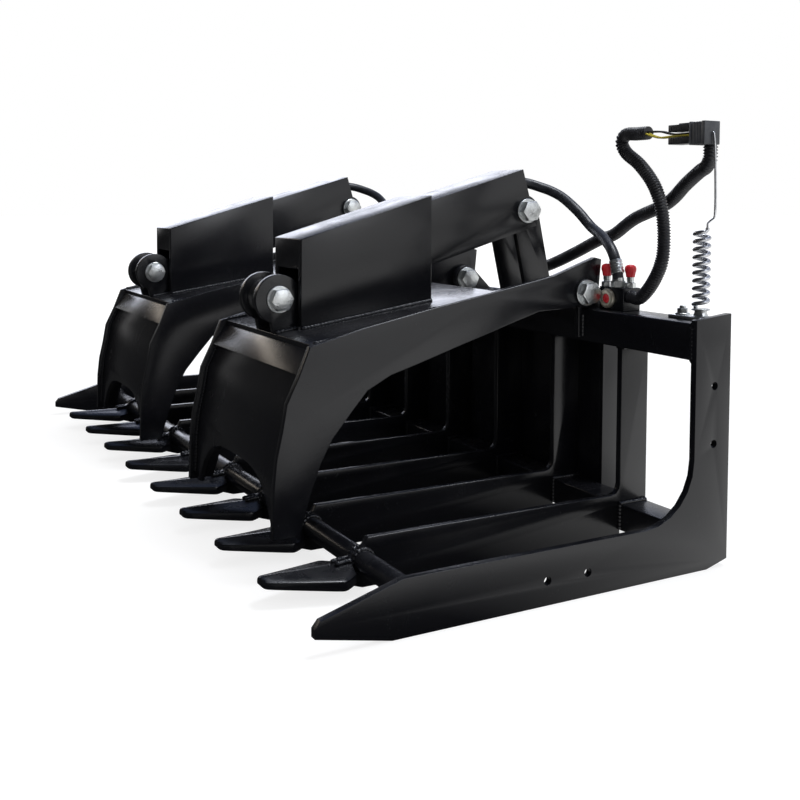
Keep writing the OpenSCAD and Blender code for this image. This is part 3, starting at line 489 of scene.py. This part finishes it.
def block(body, low, high, edge=0.0008, rounds=2):
    """A box between two corners with rounded edges."""
    low, high = Vector(low), Vector(high)
    size = high - low
    made = bmesh.ops.create_cube(body, size=1, matrix=Matrix.Translation((low + high) / 2)
                                 @ Matrix.Diagonal((size.x, size.y, size.z, 1)))
    edges = list(dict.fromkeys(e for v in made["verts"] for e in v.link_edges))    # same order each run
    bmesh.ops.bevel(body, geom=edges, offset=edge, segments=rounds, profile=0.5, affect="EDGES",
                    clamp_overlap=True)


def near_plug(x, y, z):
    """A point given in mm from the back of the plug."""
    return plug_at + Vector((x, y, z)) / 1000


body = bmesh.new()
for low, high in ((-17, -5), (5, 17)):
    block(body, near_plug(0, -16, low), near_plug(plug_l, 16, high), 0.0014, 3)
    for x in (6, 12, 18, 24, 30):
        for near, far in ((-16.6, -15.6), (15.6, 16.6)):
            block(body, near_plug(x, near, low + 1.6), near_plug(x + 2.4, far, high - 1.6), 0.0003, 1)
block(body, near_plug(17.3, -8, 16.6), near_plug(50, 8, 19.6), 0.0010, 2)
block(body, near_plug(40, -6.5, 19.2), near_plug(45, 6.5, 20), 0.0003, 1)
plug = settle("plug_half", closed_mesh("plug_half", body), moulded["plug nylon"], "frame",
              ["wire_connector"], smooth=35)
body = bmesh.new()
block(body, near_plug(plug_l, -18, -20), near_plug(57, 18, 20), 0.0010, 2)
block(body, near_plug(56.6, -16.6, -18.4), near_plug(86, 16.6, 18.2), 0.0016, 3)
for x in (62, 68, 74):
    block(body, near_plug(x, -17.6, -19.2), near_plug(x + 2.6, 17.6, 19.2), 0.0006, 1)
block(body, near_plug(80, -18, -20), near_plug(88, 18, 20), 0.0012, 2)
block(body, near_plug(50.5, -7.4, 17.8), near_plug(69, 7.4, 20), 0.0006, 2)
socket = settle("socket_half", closed_mesh("socket_half", body), moulded["socket nylon"], "frame",
                smooth=35)
length_of(guard_points)
length_of(wire_points)
for strand, points in zip(wires, wire_paths):
    length_of(points)


# Rake frame: side plates, tines, tubes and the quick attach frame, cut from steel plate and box tube,
# welded and powder coated gloss black.
coat = Finish("black powder coat", IOR=1.5)
facing = coat.node("ShaderNodeSeparateXYZ", {}, {
    0: coat.node("ShaderNodeNewGeometry", {}, {}, "Normal")}, 2)
peel = coat.cloud(0.0030, 2.0, 0.45)
grit = coat.cloud(0.0008, 2.0, 0.6)
drift = coat.cloud(0.34, 3.0, 0.5)
smear = coat.cloud(0.07, 5.0, 0.6, twist=0.6)
nibs = 1 - coat.grains(0.0075).kept_in(0.06, 0.13)
dust = facing.kept_in(0.35, 0.95) * smear.kept_in(0.42, 0.75)
speck = nibs * coat.cloud(0.05, 1.0).kept_in(0.50, 0.62)
tone = coat.between(drift.kept_in(0.3, 0.7), (0.0042, 0.0045, 0.0064), (0.0075, 0.0079, 0.0104))
coat.coat_on("Base Color", coat.between(dust * 0.10 + speck * 0.25, tone, (0.115, 0.115, 0.125)))
coat.coat_on("Roughness", (drift * 0.10 + smear.kept_in(0.3, 0.8) * 0.08 + grit * 0.05)
             + (dust * 0.08 + 0.13))
coat.lie(peel * 0.5 + grit * 0.12 + nibs * 0.35, 0.00020)


def cut_steel(node, name=None, edge=0.0012, rounds=2, finish=coat):
    """The node's own shape with its doubles merged, its flat faces whole and its edges eased."""
    same_place, same_plane, crisp_from = 0.000002, math.radians(0.3), math.radians(25)
    body = bmesh.new()
    body.from_mesh(frame["nodes"][node].data)
    bmesh.ops.remove_doubles(body, verts=body.verts, dist=same_place)
    bmesh.ops.dissolve_limit(body, angle_limit=same_plane, verts=body.verts, edges=body.edges)
    crisp = [e for e in body.edges if e.is_manifold and e.calc_face_angle(0) > crisp_from]
    bmesh.ops.bevel(body, geom=crisp, offset=edge, segments=rounds, profile=0.5, affect="EDGES",
                    clamp_overlap=True, miter_outer="ARC" if rounds > 2 else "SHARP")
    return settle(name or node + "_steel", closed_mesh(node + "_steel", body), finish, home[node],
                  [node], smooth=35)


tine_gap = 201.811
tine_x = {k: side_x - (k - 1) * tine_gap for k in range(2, 10)}
for node in ("side_plate_right", "side_plate_left"):
    cut_steel(node, edge=0.0020, rounds=3)
for k in tine_x:
    cut_steel("tine_%d" % k, edge=0.0018, rounds=3)
for node in ("top_tube", "bottom_tube"):
    cut_steel(node, edge=0.0050, rounds=4)
for node in ("attach_plate", "attach_flanges"):
    cut_steel(node, edge=0.0010)
for node in ("pivot_ears_right", "pivot_ears_left", "cylinder_lugs_right", "cylinder_lugs_left"):
    cut_steel(node, edge=0.0012, rounds=3)
cut_steel("tie_pipe", edge=0.0010)


# Teeth: eight cast steel spears, each slotted over the nose of a tine and welded on. A rounded ridge
# runs down the middle, and hollow faces fall from it to an upright band at the sides.
tooth_stations = [  # from the tip, half width, underside, top of the band, ridge
    (0, 7.0, 35.0, 40.0, 42.6), (1.2, 11.5, 32.6, 41.4, 45.2), (3.5, 14.6, 31.2, 41.9, 46.4),
    (8, 17.6, 30.2, 41.6, 46.8), (18, 21.8, 29.2, 41.2, 46.6), (60, 34.6, 24.6, 38.6, 45.8),
    (110, 49.6, 19.2, 36.0, 45.2), (121, 52.6, 18.2, 35.6, 45.2), (125.5, 53.2, 18.0, 35.4, 45.2),
    (130, 51.4, 18.0, 35.4, 45.9), (140, 44.4, 18.0, 35.2, 47.2), (151, 35.0, 18.2, 35.2, 48.6),
    (155, 31.0, 19.0, 34.6, 48.6)]
body = bmesh.new()
for x0 in tine_x.values():
    rings = []
    for s, w, low, band, ridge in tooth_stations:
        crown = min(5.5, w * 0.32)
        flank = crown + (w - crown) * 0.45
        hollow = band + (ridge - band) * 0.52
        half = [(w * 0.94, low), (w, low + 1.6), (w, band - 3.6), (w - 1.2, band - 0.9),
                (w - 4.2, band + 0.8), (flank, hollow), (crown, ridge - 0.9), (crown * 0.6, ridge)]
        outline = half + [(-x, z) for x, z in half[::-1]]
        rings.append([body.verts.new(in_frame(x0 + x, s, z)) for x, z in outline])
    for a, b in zip(rings, rings[1:]):
        for i in range(len(a)):
            j = (i + 1) % len(a)
            body.faces.new((a[i], a[j], b[j], b[i]))
    body.faces.new(rings[0])
    body.faces.new(rings[-1])
settle("cast_teeth", closed_mesh("cast_teeth", body), coat, "frame", ["teeth"], smooth=28)


# Clamps: two arms of side plates, a top plate and an arched front plate, with welded ears for the
# rod bolt and bushes at the pivot, powder coated as the frame.
for side in ("right", "left"):
    for node in ("clamp_plate_outer_", "clamp_plate_inner_"):
        cut_steel(node + side, edge=0.0020, rounds=3)
    for node in ("clamp_front_", "clamp_top_"):
        cut_steel(node + side, edge=0.0008)
    cut_steel("rod_ears_" + side, edge=0.0014, rounds=3)
    cut_steel("clamp_bushes_" + side, edge=0.0010)


# Hoods: folded sheet metal covers. The front one is welded to the clamp's top plate and the rear one
# rides on the barrel and slides out from under it.
for side in ("right", "left"):
    cut_steel("front_hood_" + side, edge=0.0017, rounds=3)
    cut_steel("rear_hood_" + side, edge=0.0017, rounds=3)


# Cylinders: honed steel barrels painted black, with a zinc plated gland and a hard chromed rod.
chrome = Finish("hard chrome", Metallic=1.0)
film = chrome.cloud(0.012, 3.0)
grind = chrome.cloud(0.0008, 1.0)
chrome.coat_on("Base Color", chrome.between(
    film.kept_in(0.3, 0.7), (0.62, 0.63, 0.65), (0.74, 0.75, 0.76)))
chrome.coat_on("Roughness", film * 0.06 + grind * 0.05 + 0.06)
for side in ("right", "left"):
    cut_steel("barrel_" + side, edge=0.0012)
    cut_steel("gland_" + side, edge=0.0008, finish=zinc)
    cut_steel("rod_" + side, edge=0.0010, finish=chrome)


# Bolts: zinc plated hexagon bolts with a washer and a nut, through the clamp pivots, the rod eyes and
# the cylinder bases. The threaded end stands out past the nut.
bolt_r, bolt_flats, head_h, washer_h, washer_r = 0.0127, 0.0381, 0.016, 0.003, 0.025
in_touch = 0.0001    # pieces of one bolt lie this far apart or in each other
clamp_half = 224     # half a clamp's width over its side plates
pivot_in, pivot_out, pivot_grip = 28.4, 2.3, 30.7    # a pivot bolt from the clamp's edge, and its grip
base_grip, eye_grip = 110.6, 85.4    # of the bolts at a cylinder's base and at its rod's eye
bolts = {"frame": [], "right_clamp": [], "left_clamp": []}
pivot_y, pivot_z, rod_y, rod_z = 704, 456, 143, 451
for side, turn in both_sides:
    for hand in (1, -1):
        edge_x = turn * clamp_x + hand * clamp_half
        bolts["frame"].append((edge_x - (pivot_in if hand > 0 else pivot_out), pivot_grip, pivot_y, pivot_z))
    bolts["frame"].append((turn * clamp_x - base_grip / 2, base_grip, base_y, base_z))
    bolts[side + "_clamp"].append((turn * clamp_x - eye_grip / 2, eye_grip, rod_y, rod_z))
stands = {"frame": ["pivot_bolts", "base_bolts"], "right_clamp": ["clamp_bolts_right"],
          "left_clamp": ["clamp_bolts_left"]}
for home_body, row in bolts.items():
    body = bmesh.new()
    for x, grip, y, z in row:
        first, last = in_frame(x, y, z), in_frame(x + grip, y, z)
        for seat, way in ((first, Vector((-1, 0, 0))), (last, Vector((1, 0, 0)))):
            turned(body, seat + way * in_touch, way, [
                (0, bolt_r), (0, washer_r - 0.0006), (0.0005, washer_r), (washer_h - 0.0006, washer_r),
                (washer_h - in_touch, washer_r - 0.0007), (washer_h - in_touch, bolt_r)], 40)
        turned(body, first, (1, 0, 0), [(-washer_h, bolt_r), (grip / 1000 + washer_h, bolt_r)], 40)
        hexagon(body, last + Vector((washer_h, 0, 0)), (1, 0, 0), bolt_flats, head_h, False, True, 0.35)
        hexagon(body, first - Vector((washer_h, 0, 0)), (-1, 0, 0), bolt_flats, head_h, True, True, 0.1)
        thread = [(0, bolt_r * 0.9)]
        for n in range(4):
            s = 0.0004 + n * 0.0011
            thread += [(s, bolt_r * 0.92), (s + 0.00055, bolt_r * 0.995)]
        thread += [(0.0047, bolt_r * 0.86), (0.0050, bolt_r * 0.80)]
        turned(body, first - Vector((washer_h + head_h - in_touch, 0, 0)), (-1, 0, 0), thread, 40)
    settle("bolts_" + home_body, closed_mesh("bolts_" + home_body, body), zinc, home_body,
           stands[home_body], smooth=30)


# Manifold: a steel block bolted on the top tube, with the right cylinder's hose, two couplers under red
# caps and a flat coupler with a red plug in its front.
cut_steel("manifold_block", "manifold_body", edge=0.0016, rounds=3)
body = bmesh.new()
couplers = [in_frame(block_x + 10, port_y, block_top), in_frame(block_x + 59, 759, block_top)]
for foot in couplers:
    hexagon(body, foot, (0, 0, 1), 0.0180, 0.0095, False, True)
    turned(body, foot + Vector((0, 0, 0.0094)), (0, 0, 1), [
        (0, 0.0072), (0.0008, 0.0078), (0.0012, 0.0066), (0.0034, 0.0066), (0.0038, 0.0072), (0.0106, 0.0072)])
port = in_frame(block_x + 26, 734, 446.5)
elbow_r, elbow_sides = 0.0068, 20
for turn in (1, -1):
    over = in_frame(turn * clamp_x, 675, 662)
    turned(body, over, (0, 0, 1), [(0, 0.0062), (0.0005, 0.0069), (0.0050, 0.0069), (0.0055, 0.0062)])
    bend = smooth_route([over + Vector((0, y, z)) for y, z in (
        (0, 0.002), (0, 0.005), (0.0015, 0.0086), (0.0050, 0.0102), (0.0079, 0.0105))], 4)
    grown = [[body.verts.new(p + elbow_r * (math.cos(a) * u + math.sin(a) * v))
              for a in (2 * math.pi * k / elbow_sides for k in range(elbow_sides))]
             for p, _, u, v in frames_along(bend)]
    for low, high in zip(grown, grown[1:]):
        for k in range(elbow_sides):
            n = (k + 1) % elbow_sides
            body.faces.new((low[k], low[n], high[n], high[k]))
    body.faces.new(grown[0])
    body.faces.new(grown[-1])
settle("hydraulic_unions", closed_mesh("hydraulic_unions", body), zinc, "frame",
       ["hydraulic_fittings"], smooth=30)
passivated = Finish("yellow passivated zinc", Metallic=0.75)
blush = passivated.cloud(0.008, 4.0, 0.6)
passivated.coat_on("Base Color", passivated.between(
    blush.kept_in(0.3, 0.7), (0.66, 0.60, 0.47), (0.84, 0.80, 0.70)))
passivated.coat_on("Roughness", blush * 0.25 + 0.22)
body = bmesh.new()
turned(body, port, (0, -1, 0), [
    (0, 0.0186), (0.0006, 0.0190), (0.0040, 0.0190), (0.0050, 0.0182), (0.0058, 0.0182), (0.0068, 0.0174),
    (0.0073, 0.0164), (0.0073, 0.0116), (0.0064, 0.0096), (0.0052, 0.0092), (0.0036, 0.0090), (0.0036, 0)], 48)
settle("coupler_face", closed_mesh("coupler_face", body), passivated, "frame", smooth=30)

caps = Finish("red cap plastic", IOR=1.5)
bloom = caps.cloud(0.010, 3.0)
caps.coat_on("Base Color", caps.between(
    bloom.kept_in(0.3, 0.7), (0.62, 0.012, 0.022), (0.86, 0.040, 0.055)))
caps.coat_on("Roughness", bloom * 0.2 + 0.22)
body = bmesh.new()
for foot in couplers:
    turned(body, foot + Vector((0, 0, 0.020)), (0, 0, 1), [
        (0.0002, 0.0076), (0.0008, 0.0084), (0.0030, 0.0086), (0.0070, 0.0092), (0.0100, 0.0102),
        (0.0120, 0.0109), (0.0160, 0.0110), (0.0190, 0.0105), (0.0214, 0.0090), (0.0230, 0.0062),
        (0.0238, 0.0030), (0.0240, 0)], 36)
turned(body, port + Vector((0, -0.0030, 0)), (0, -1, 0), [
    (0, 0.0088), (0.0022, 0.0088), (0.0028, 0.0083), (0.0028, 0.0056), (0.0020, 0.0050), (0.0020, 0.0026),
    (0.0030, 0.0022), (0.0033, 0.0012), (0.0033, 0)], 36)
settle("red_caps", closed_mesh("red_caps", body), caps, "frame", ["dust_caps"], smooth=35)


# Hose holder: a coil spring of zinc plated wire on a bolted foot. A wire rod from its top carries the
# electric plug.
spring_wire = Finish("spring wire", Metallic=1.0)
dull = spring_wire.cloud(0.015, 4.0)
drawn = spring_wire.cloud(0.001, 2.0)
spring_wire.coat_on("Base Color", spring_wire.between(
    dull.kept_in(0.3, 0.7), (0.46, 0.47, 0.49), (0.70, 0.71, 0.73)))
spring_wire.coat_on("Roughness", dull * 0.18 + drawn * 0.10 + 0.20)
spring_x, spring_y, spring_l, curl_r, turns, lead = 864.15, 765, 142, 12.3, 9.5, 6.0
post_h, coil_steps, coil_wire_r, stay_wire_r = 20, 24, 0.0037, 0.0021
curl = [(-curl_r, 0, 0), (-curl_r, 0, lead * 0.6)]
for i in range(1, int(coil_steps * turns)):
    a = math.pi + i * math.pi / (coil_steps / 2)
    curl.append((curl_r * math.cos(a), curl_r * math.sin(a),
                 lead + (spring_l - 2 * lead) * i / (coil_steps * turns)))
curl += [(curl_r, 0, spring_l - lead * 0.6), (curl_r, 0, spring_l)]
coil = [in_frame(spring_x + x, spring_y + y, tube_top + post_h + z) for x, y, z in curl]
settle("coil_spring", tube_mesh("coil_spring", coil, coil_wire_r, 16), spring_wire, "frame",
       ["holder_spring"], smooth=60)
rod_foot = coil[-1]
rise = [(0, 0, 8), (14, -6, 14), (28, -13, 18), (33, -17, 28), (33, -17, 56), (33, -19, 110), (33, -21, 142)]
plug_end = near_plug(88, 0, 0)
stay = [rod_foot] + [rod_foot + Vector(p) / 1000 for p in rise] + [plug_end + Vector((0.003, 0, 0)), plug_end]
rounded = []
for a, b, c in zip(stay, stay[1:], stay[2:]):
    cut = min((b - a).length, (c - b).length) * 0.45
    one, two = b + (a - b).normalized() * cut, b + (c - b).normalized() * cut
    rounded += [(one * (1 - t) + b * t) * (1 - t) + (b * (1 - t) + two * t) * t for t in (0, 0.33, 0.67, 1)]
settle("plug_stay", tube_mesh("plug_stay", [stay[0]] + rounded + [stay[-1]], stay_wire_r, 12), spring_wire,
       "frame", ["holder_rod"], smooth=60)
body = bmesh.new()
foot = in_frame(spring_x, spring_y, tube_top)
turned(body, foot + Vector((0, 0, 0.0058)), (0, 0, 1), [
    (0, 0.0160), (0.0010, 0.0160), (0.0022, 0.0128), (0.0080, 0.0106), (0.0106, 0.0106), (0.0112, 0.0150),
    (0.0120, 0.0160), (0.0136, 0.0160), (0.0142, 0.0154)], 40)
bolt_foot = foot + Vector((-0.043, 0, 0.006))
turned(body, bolt_foot, (0, 0, 1), [(0, 0.0130), (0.0024, 0.0130), (0.0030, 0.0124)], 36)
hexagon(body, bolt_foot + Vector((0, 0, 0.003)), (0, 0, 1), 0.0172, 0.0085, False, True, 0.3)
turned(body, bolt_foot + Vector((0, 0, 0.0115)), (0, 0, 1), [
    (0, 0.0056), (0.0038, 0.0056), (0.0044, 0.0050)], 24)
# The block comes last: faces made after it fill the slots that its bevel frees, in no fixed order.
block(body, foot + Vector((-0.060, -0.019, 0)), foot + Vector((0.016, 0.019, 0.006)), 0.0012, 3)
settle("spring_foot", closed_mesh("spring_foot", body), zinc, "frame", ["holder_foot"], smooth=35)


# Weld beads: rippled fillets laid along the seams of the frame and of the clamps before the powder
# coat, so they are as black as the plates.
bead = Recipe("weld bead", Radius=0.0038, Ripple=0.0070, Depth=0.0013, Seed=3, Finish="Material")
seam = bead.node("GeometryNodeMeshToCurve", {}, {"Mesh": bead.want("Geometry")})
laid = bead.node("GeometryNodeResampleCurve", {"mode": "LENGTH"}, {"Curve": seam, "Length": 0.0014})
gone = bead.node("GeometryNodeSplineParameter", {}, {}, "Length")
scale = gone.reckon("DIVIDE", bead.want("Ripple"))
pulse = bead.node("ShaderNodeMath", {"operation": "FRACT"}, {0: scale})
wander = bead.node("ShaderNodeTexNoise", {"noise_dimensions": "4D"}, {
    "W": bead.want("Seed"), "Scale": 90.0, "Detail": 1.0})
thick = bead.want("Radius") + pulse * bead.want("Depth") + (wander - 0.5) * 0.0016
loop = bead.node("GeometryNodeCurvePrimitiveCircle", {}, {"Resolution": 8, "Radius": 1.0})
skin = bead.node("GeometryNodeCurveToMesh", {}, {"Curve": laid, "Profile Curve": loop, "Scale": thick,
                                                 "Fill Caps": True})
even = bead.node("GeometryNodeSetShadeSmooth", {}, {"Geometry": skin})
bead.end(even, bead.want("Finish"))


def ring_of(x, y, z, r):
    """A closed round seam about an axis along x."""
    count = 28
    return [in_frame(x, y + r * math.cos(2 * math.pi * k / count), z + r * math.sin(2 * math.pi * k / count))
            for k in range(count + 1)]


plate, thin_plate, ear_gap, beside = 12.7, 9.5, 3, 1.2    # beside: a bead's middle from its plate
tie_y, tie_z, clamp_reach = 178, 44, 561
lug_at, lug_half, rod_ear_at = 42, 6, 30    # a base lug's middle and half its plate, a rod ear's inner face
hood_half, hood_front, front_in = 62, 178, 12    # front_in: the front plate behind the outline's edge


def reach(ahead, up):
    """Where a point of a clamp's outline lies, given as shares of its reach from the pivot."""
    return pivot_y - ahead * clamp_reach, pivot_z + up * clamp_reach


top_front, top_rear = reach(1.02, -0.12), reach(0.23, -0.002)
front_outline = [reach(a, b) for a, b in ((1.071, -0.205), (1.111, -0.287), (1.125, -0.367), (1.143, -0.447),
                                          (1.152, -0.528), (1.157, -0.66))]


def top_at(y):
    """Height of the clamp's top plate."""
    return top_front[1] + (y - top_front[0]) * (top_rear[1] - top_front[1]) / (top_rear[0] - top_front[0])


seams = {"frame": [], "right_clamp": [], "left_clamp": []}
for x0 in tine_x.values():
    for hand in (1, -1):
        x = x0 + hand * (plate / 2 + beside)
        seams["frame"] += [
            [in_frame(x, 721.4, 16), in_frame(x, 721.4, 64.6), in_frame(x, 784, 64.6)],
            [in_frame(x, 722, 359.8), in_frame(x, 784, 359.8)],
            [in_frame(x, 128, 46.6), in_frame(x, 153, 49.2), in_frame(x, 156, 46), in_frame(x, 156, 20)],
            ring_of(x, tie_y, tie_z, 19.4)]
for hand in (1, -1):
    x = hand * (side_x - plate / 2 - beside)
    seams["frame"] += [
        ring_of(x, tie_y, tie_z, 19.6),
        [in_frame(x, y, z) for y, z in ((784, 424.9), (710.6, 424.9), (709, 423), (709, 363), (710.6, 360.4),
                                        (784, 360.4))],
        [in_frame(x, y, z) for y, z in ((784, 64), (723.2, 64), (721.8, 62.4), (721.8, 14))]]
for side, turn in both_sides:
    middle = turn * clamp_x
    for hand in (1, -1):
        for lean in (1, -1):
            ear = middle + hand * (clamp_half - plate - ear_gap - plate / 2) + lean * (plate / 2 + beside)
            foot = [in_frame(ear, 708.6, 371), in_frame(ear, 708.6, 412)]
            if lean != hand:    # the clamp plate turns close beside the other face
                foot += [in_frame(ear, 708.6, 424), in_frame(ear, 710, 425.6), in_frame(ear, 774, 425.6)]
            seams["frame"].append(foot)
            lug = middle + hand * lug_at + lean * (lug_half + beside)
            seams["frame"].append([in_frame(lug, 711, 425.6), in_frame(lug, 761, 425.6)])
    row = seams[side + "_clamp"]
    for hand in (1, -1):
        wall = middle + hand * (clamp_half - plate - beside)
        for start, off in ((4, beside), (24, -thin_plate - beside)):
            row.append([in_frame(wall, y, top_at(y) + off)
                        for y in (top_front[0] + start, 200, 300, 400, 500, top_rear[0] - 3)])
        row.append([in_frame(wall, y + front_in - beside, z) for y, z in front_outline])
        row.append([in_frame(wall, y + front_in + thin_plate + beside, z) for y, z in front_outline])
        for lean in (1, -1):
            ear = middle + hand * (rod_ear_at + plate / 2) + lean * (plate / 2 + beside)
            row.append([in_frame(ear, y, top_at(y) + beside) for y in (top_front[0] + 3, 160, 186)])
        hood = middle + hand * (hood_half + beside)
        row.append([in_frame(hood, y, top_at(y) + beside) for y in (179, 250, 350, 454)])
        row.append([in_frame(middle + hand * x, hood_front - beside, top_at(hood_front) + beside)
                    for x in (50, 61)])
        for out in (1, -1):
            rim = middle + hand * (clamp_half - plate / 2) + out * (plate / 2 + 0.4)
            row.append(ring_of(rim, pivot_y, pivot_z, 22.4))
for home_body, row in seams.items():
    mesh = bead.follow("weld_beads_" + home_body, row, Finish=coat.material,
                       **({"Radius": 0.0036} if home_body != "frame" else {}))
    settle("weld_beads_" + home_body, mesh, coat, home_body, smooth=80)


# Floor, light and backdrop: a plain pale floor in a white room, lit by a long soft light low behind the
# rake, a small warm one on the left, one overhead and a weak one on the right. What the gloss mirrors is
# set apart from what the camera sees: a floor that is dark but for its right rear, and a dim front.
floor_mesh = bpy.data.meshes.new("floor")
wide, drop = 40, -0.0005
floor_mesh.from_pydata([(-wide, -wide, drop), (wide, -wide, drop), (wide, wide, drop), (-wide, wide, drop)],
                       [], [(0, 1, 2, 3)])
floor = bpy.data.objects.new("floor", floor_mesh)
bpy.context.scene.collection.objects.link(floor)
ground = Finish("pale floor")
ground.tree.nodes.remove(ground.skin)
seen = ground.node("ShaderNodeLightPath", {}, {}, "Is Camera Ray")
shine = ground.node("ShaderNodeLightPath", {}, {}, "Is Glossy Ray")
way_off = ground.node("ShaderNodeVectorMath", {"operation": "LENGTH"}, {0: ground.place}, "Value")
right_of, behind = (ground.node("ShaderNodeSeparateXYZ", {}, {0: ground.place}, k) for k in (0, 1))
white = way_off.kept_in(1.6, 5.0) * 0.26 + 0.78
right_glow = (right_of + behind * 1.2).kept_in(0.72, 1.50) * (1.15 - way_off.kept_in(2.5, 9.0) * 0.5)
matt = ground.node("ShaderNodeBsdfDiffuse", {}, {
    "Color": ground.between(shine, (0.34, 0.34, 0.345), (0.03, 0.03, 0.03)), "Roughness": 0.5})
glow = ground.node("ShaderNodeEmission", {}, {
    "Color": (1, 1, 1, 1), "Strength": seen * white + shine * (right_glow + 0.01)})
both = ground.node("ShaderNodeAddShader", {}, {0: matt, 1: glow})
ground.tree.links.new(both.socket, ground.tree.nodes["Material Output"].inputs["Surface"])
floor_mesh.materials.append(ground.material)

room = bpy.data.worlds.new("white room")
bpy.context.scene.world = room
room.use_nodes = True


class Room(Works):
    tree = room.node_tree


walls = Room()
plain = walls.node("ShaderNodeLightPath", {}, {}, "Is Camera Ray")
mirror = walls.node("ShaderNodeLightPath", {}, {}, "Is Glossy Ray")
toward = walls.node("ShaderNodeTexCoord", {}, {}, "Generated")
ahead = walls.node("ShaderNodeSeparateXYZ", {}, {0: toward}, 1)
high = walls.node("ShaderNodeSeparateXYZ", {}, {0: toward}, 2)
wall = walls.node("ShaderNodeMix", {"data_type": "RGBA"}, {
    0: high.kept_in(0.22, 0.62), 6: (1, 1, 1, 1), 7: (0.16, 0.21, 0.36, 1)}, 2)
shade = ahead.kept_in(-0.30, 0.20) * 0.95 + 0.05
room_light = 0.45    # on all that isn't seen or mirrored
walls.tree.links.new(walls.node("ShaderNodeMix", {"data_type": "RGBA"}, {
    0: mirror, 6: (1, 1, 1, 1), 7: wall}, 2).socket, walls.tree.nodes["Background"].inputs["Color"])
walls.tree.links.new((plain + mirror * shade + (1 - plain.reckon("MAXIMUM", mirror)) * room_light).socket,
                     walls.tree.nodes["Background"].inputs["Strength"])

for name, place, aim, size, power, tint in (
        ("low back light", (-3.6, 1.5, 1.45), (0.2, 0, 0.4), (4.6, 1.5), 46, (0.80, 0.84, 1.0)),
        ("left warm light", (-2.9, -1.75, 1.68), (0.4, -0.4, 0.5), (2.6, 0.32), 8.5, (1.0, 0.89, 0.76)),
        ("overhead light", (0.75, 0.9, 3.4), (0.3, 0, 0.3), (1.3, 1.3), 72, (0.93, 0.96, 1.0)),
        ("right light", (3.4, 0.8, 1.9), (0.4, 0.1, 0.3), (1.2, 1.2), 12, (0.94, 0.96, 1.0))):
    lamp = bpy.data.lights.new(name, "AREA")
    lamp.shape, lamp.size, lamp.size_y, lamp.energy, lamp.color = "RECTANGLE", size[0], size[1], power, tint
    holder = bpy.data.objects.new(name, lamp)
    holder.location = place
    holder.rotation_euler = (Vector(aim) - Vector(place)).to_track_quat("-Z", "Y").to_euler()
    bpy.context.scene.collection.objects.link(holder)
bpy.context.scene.view_settings.view_transform = "Standard"
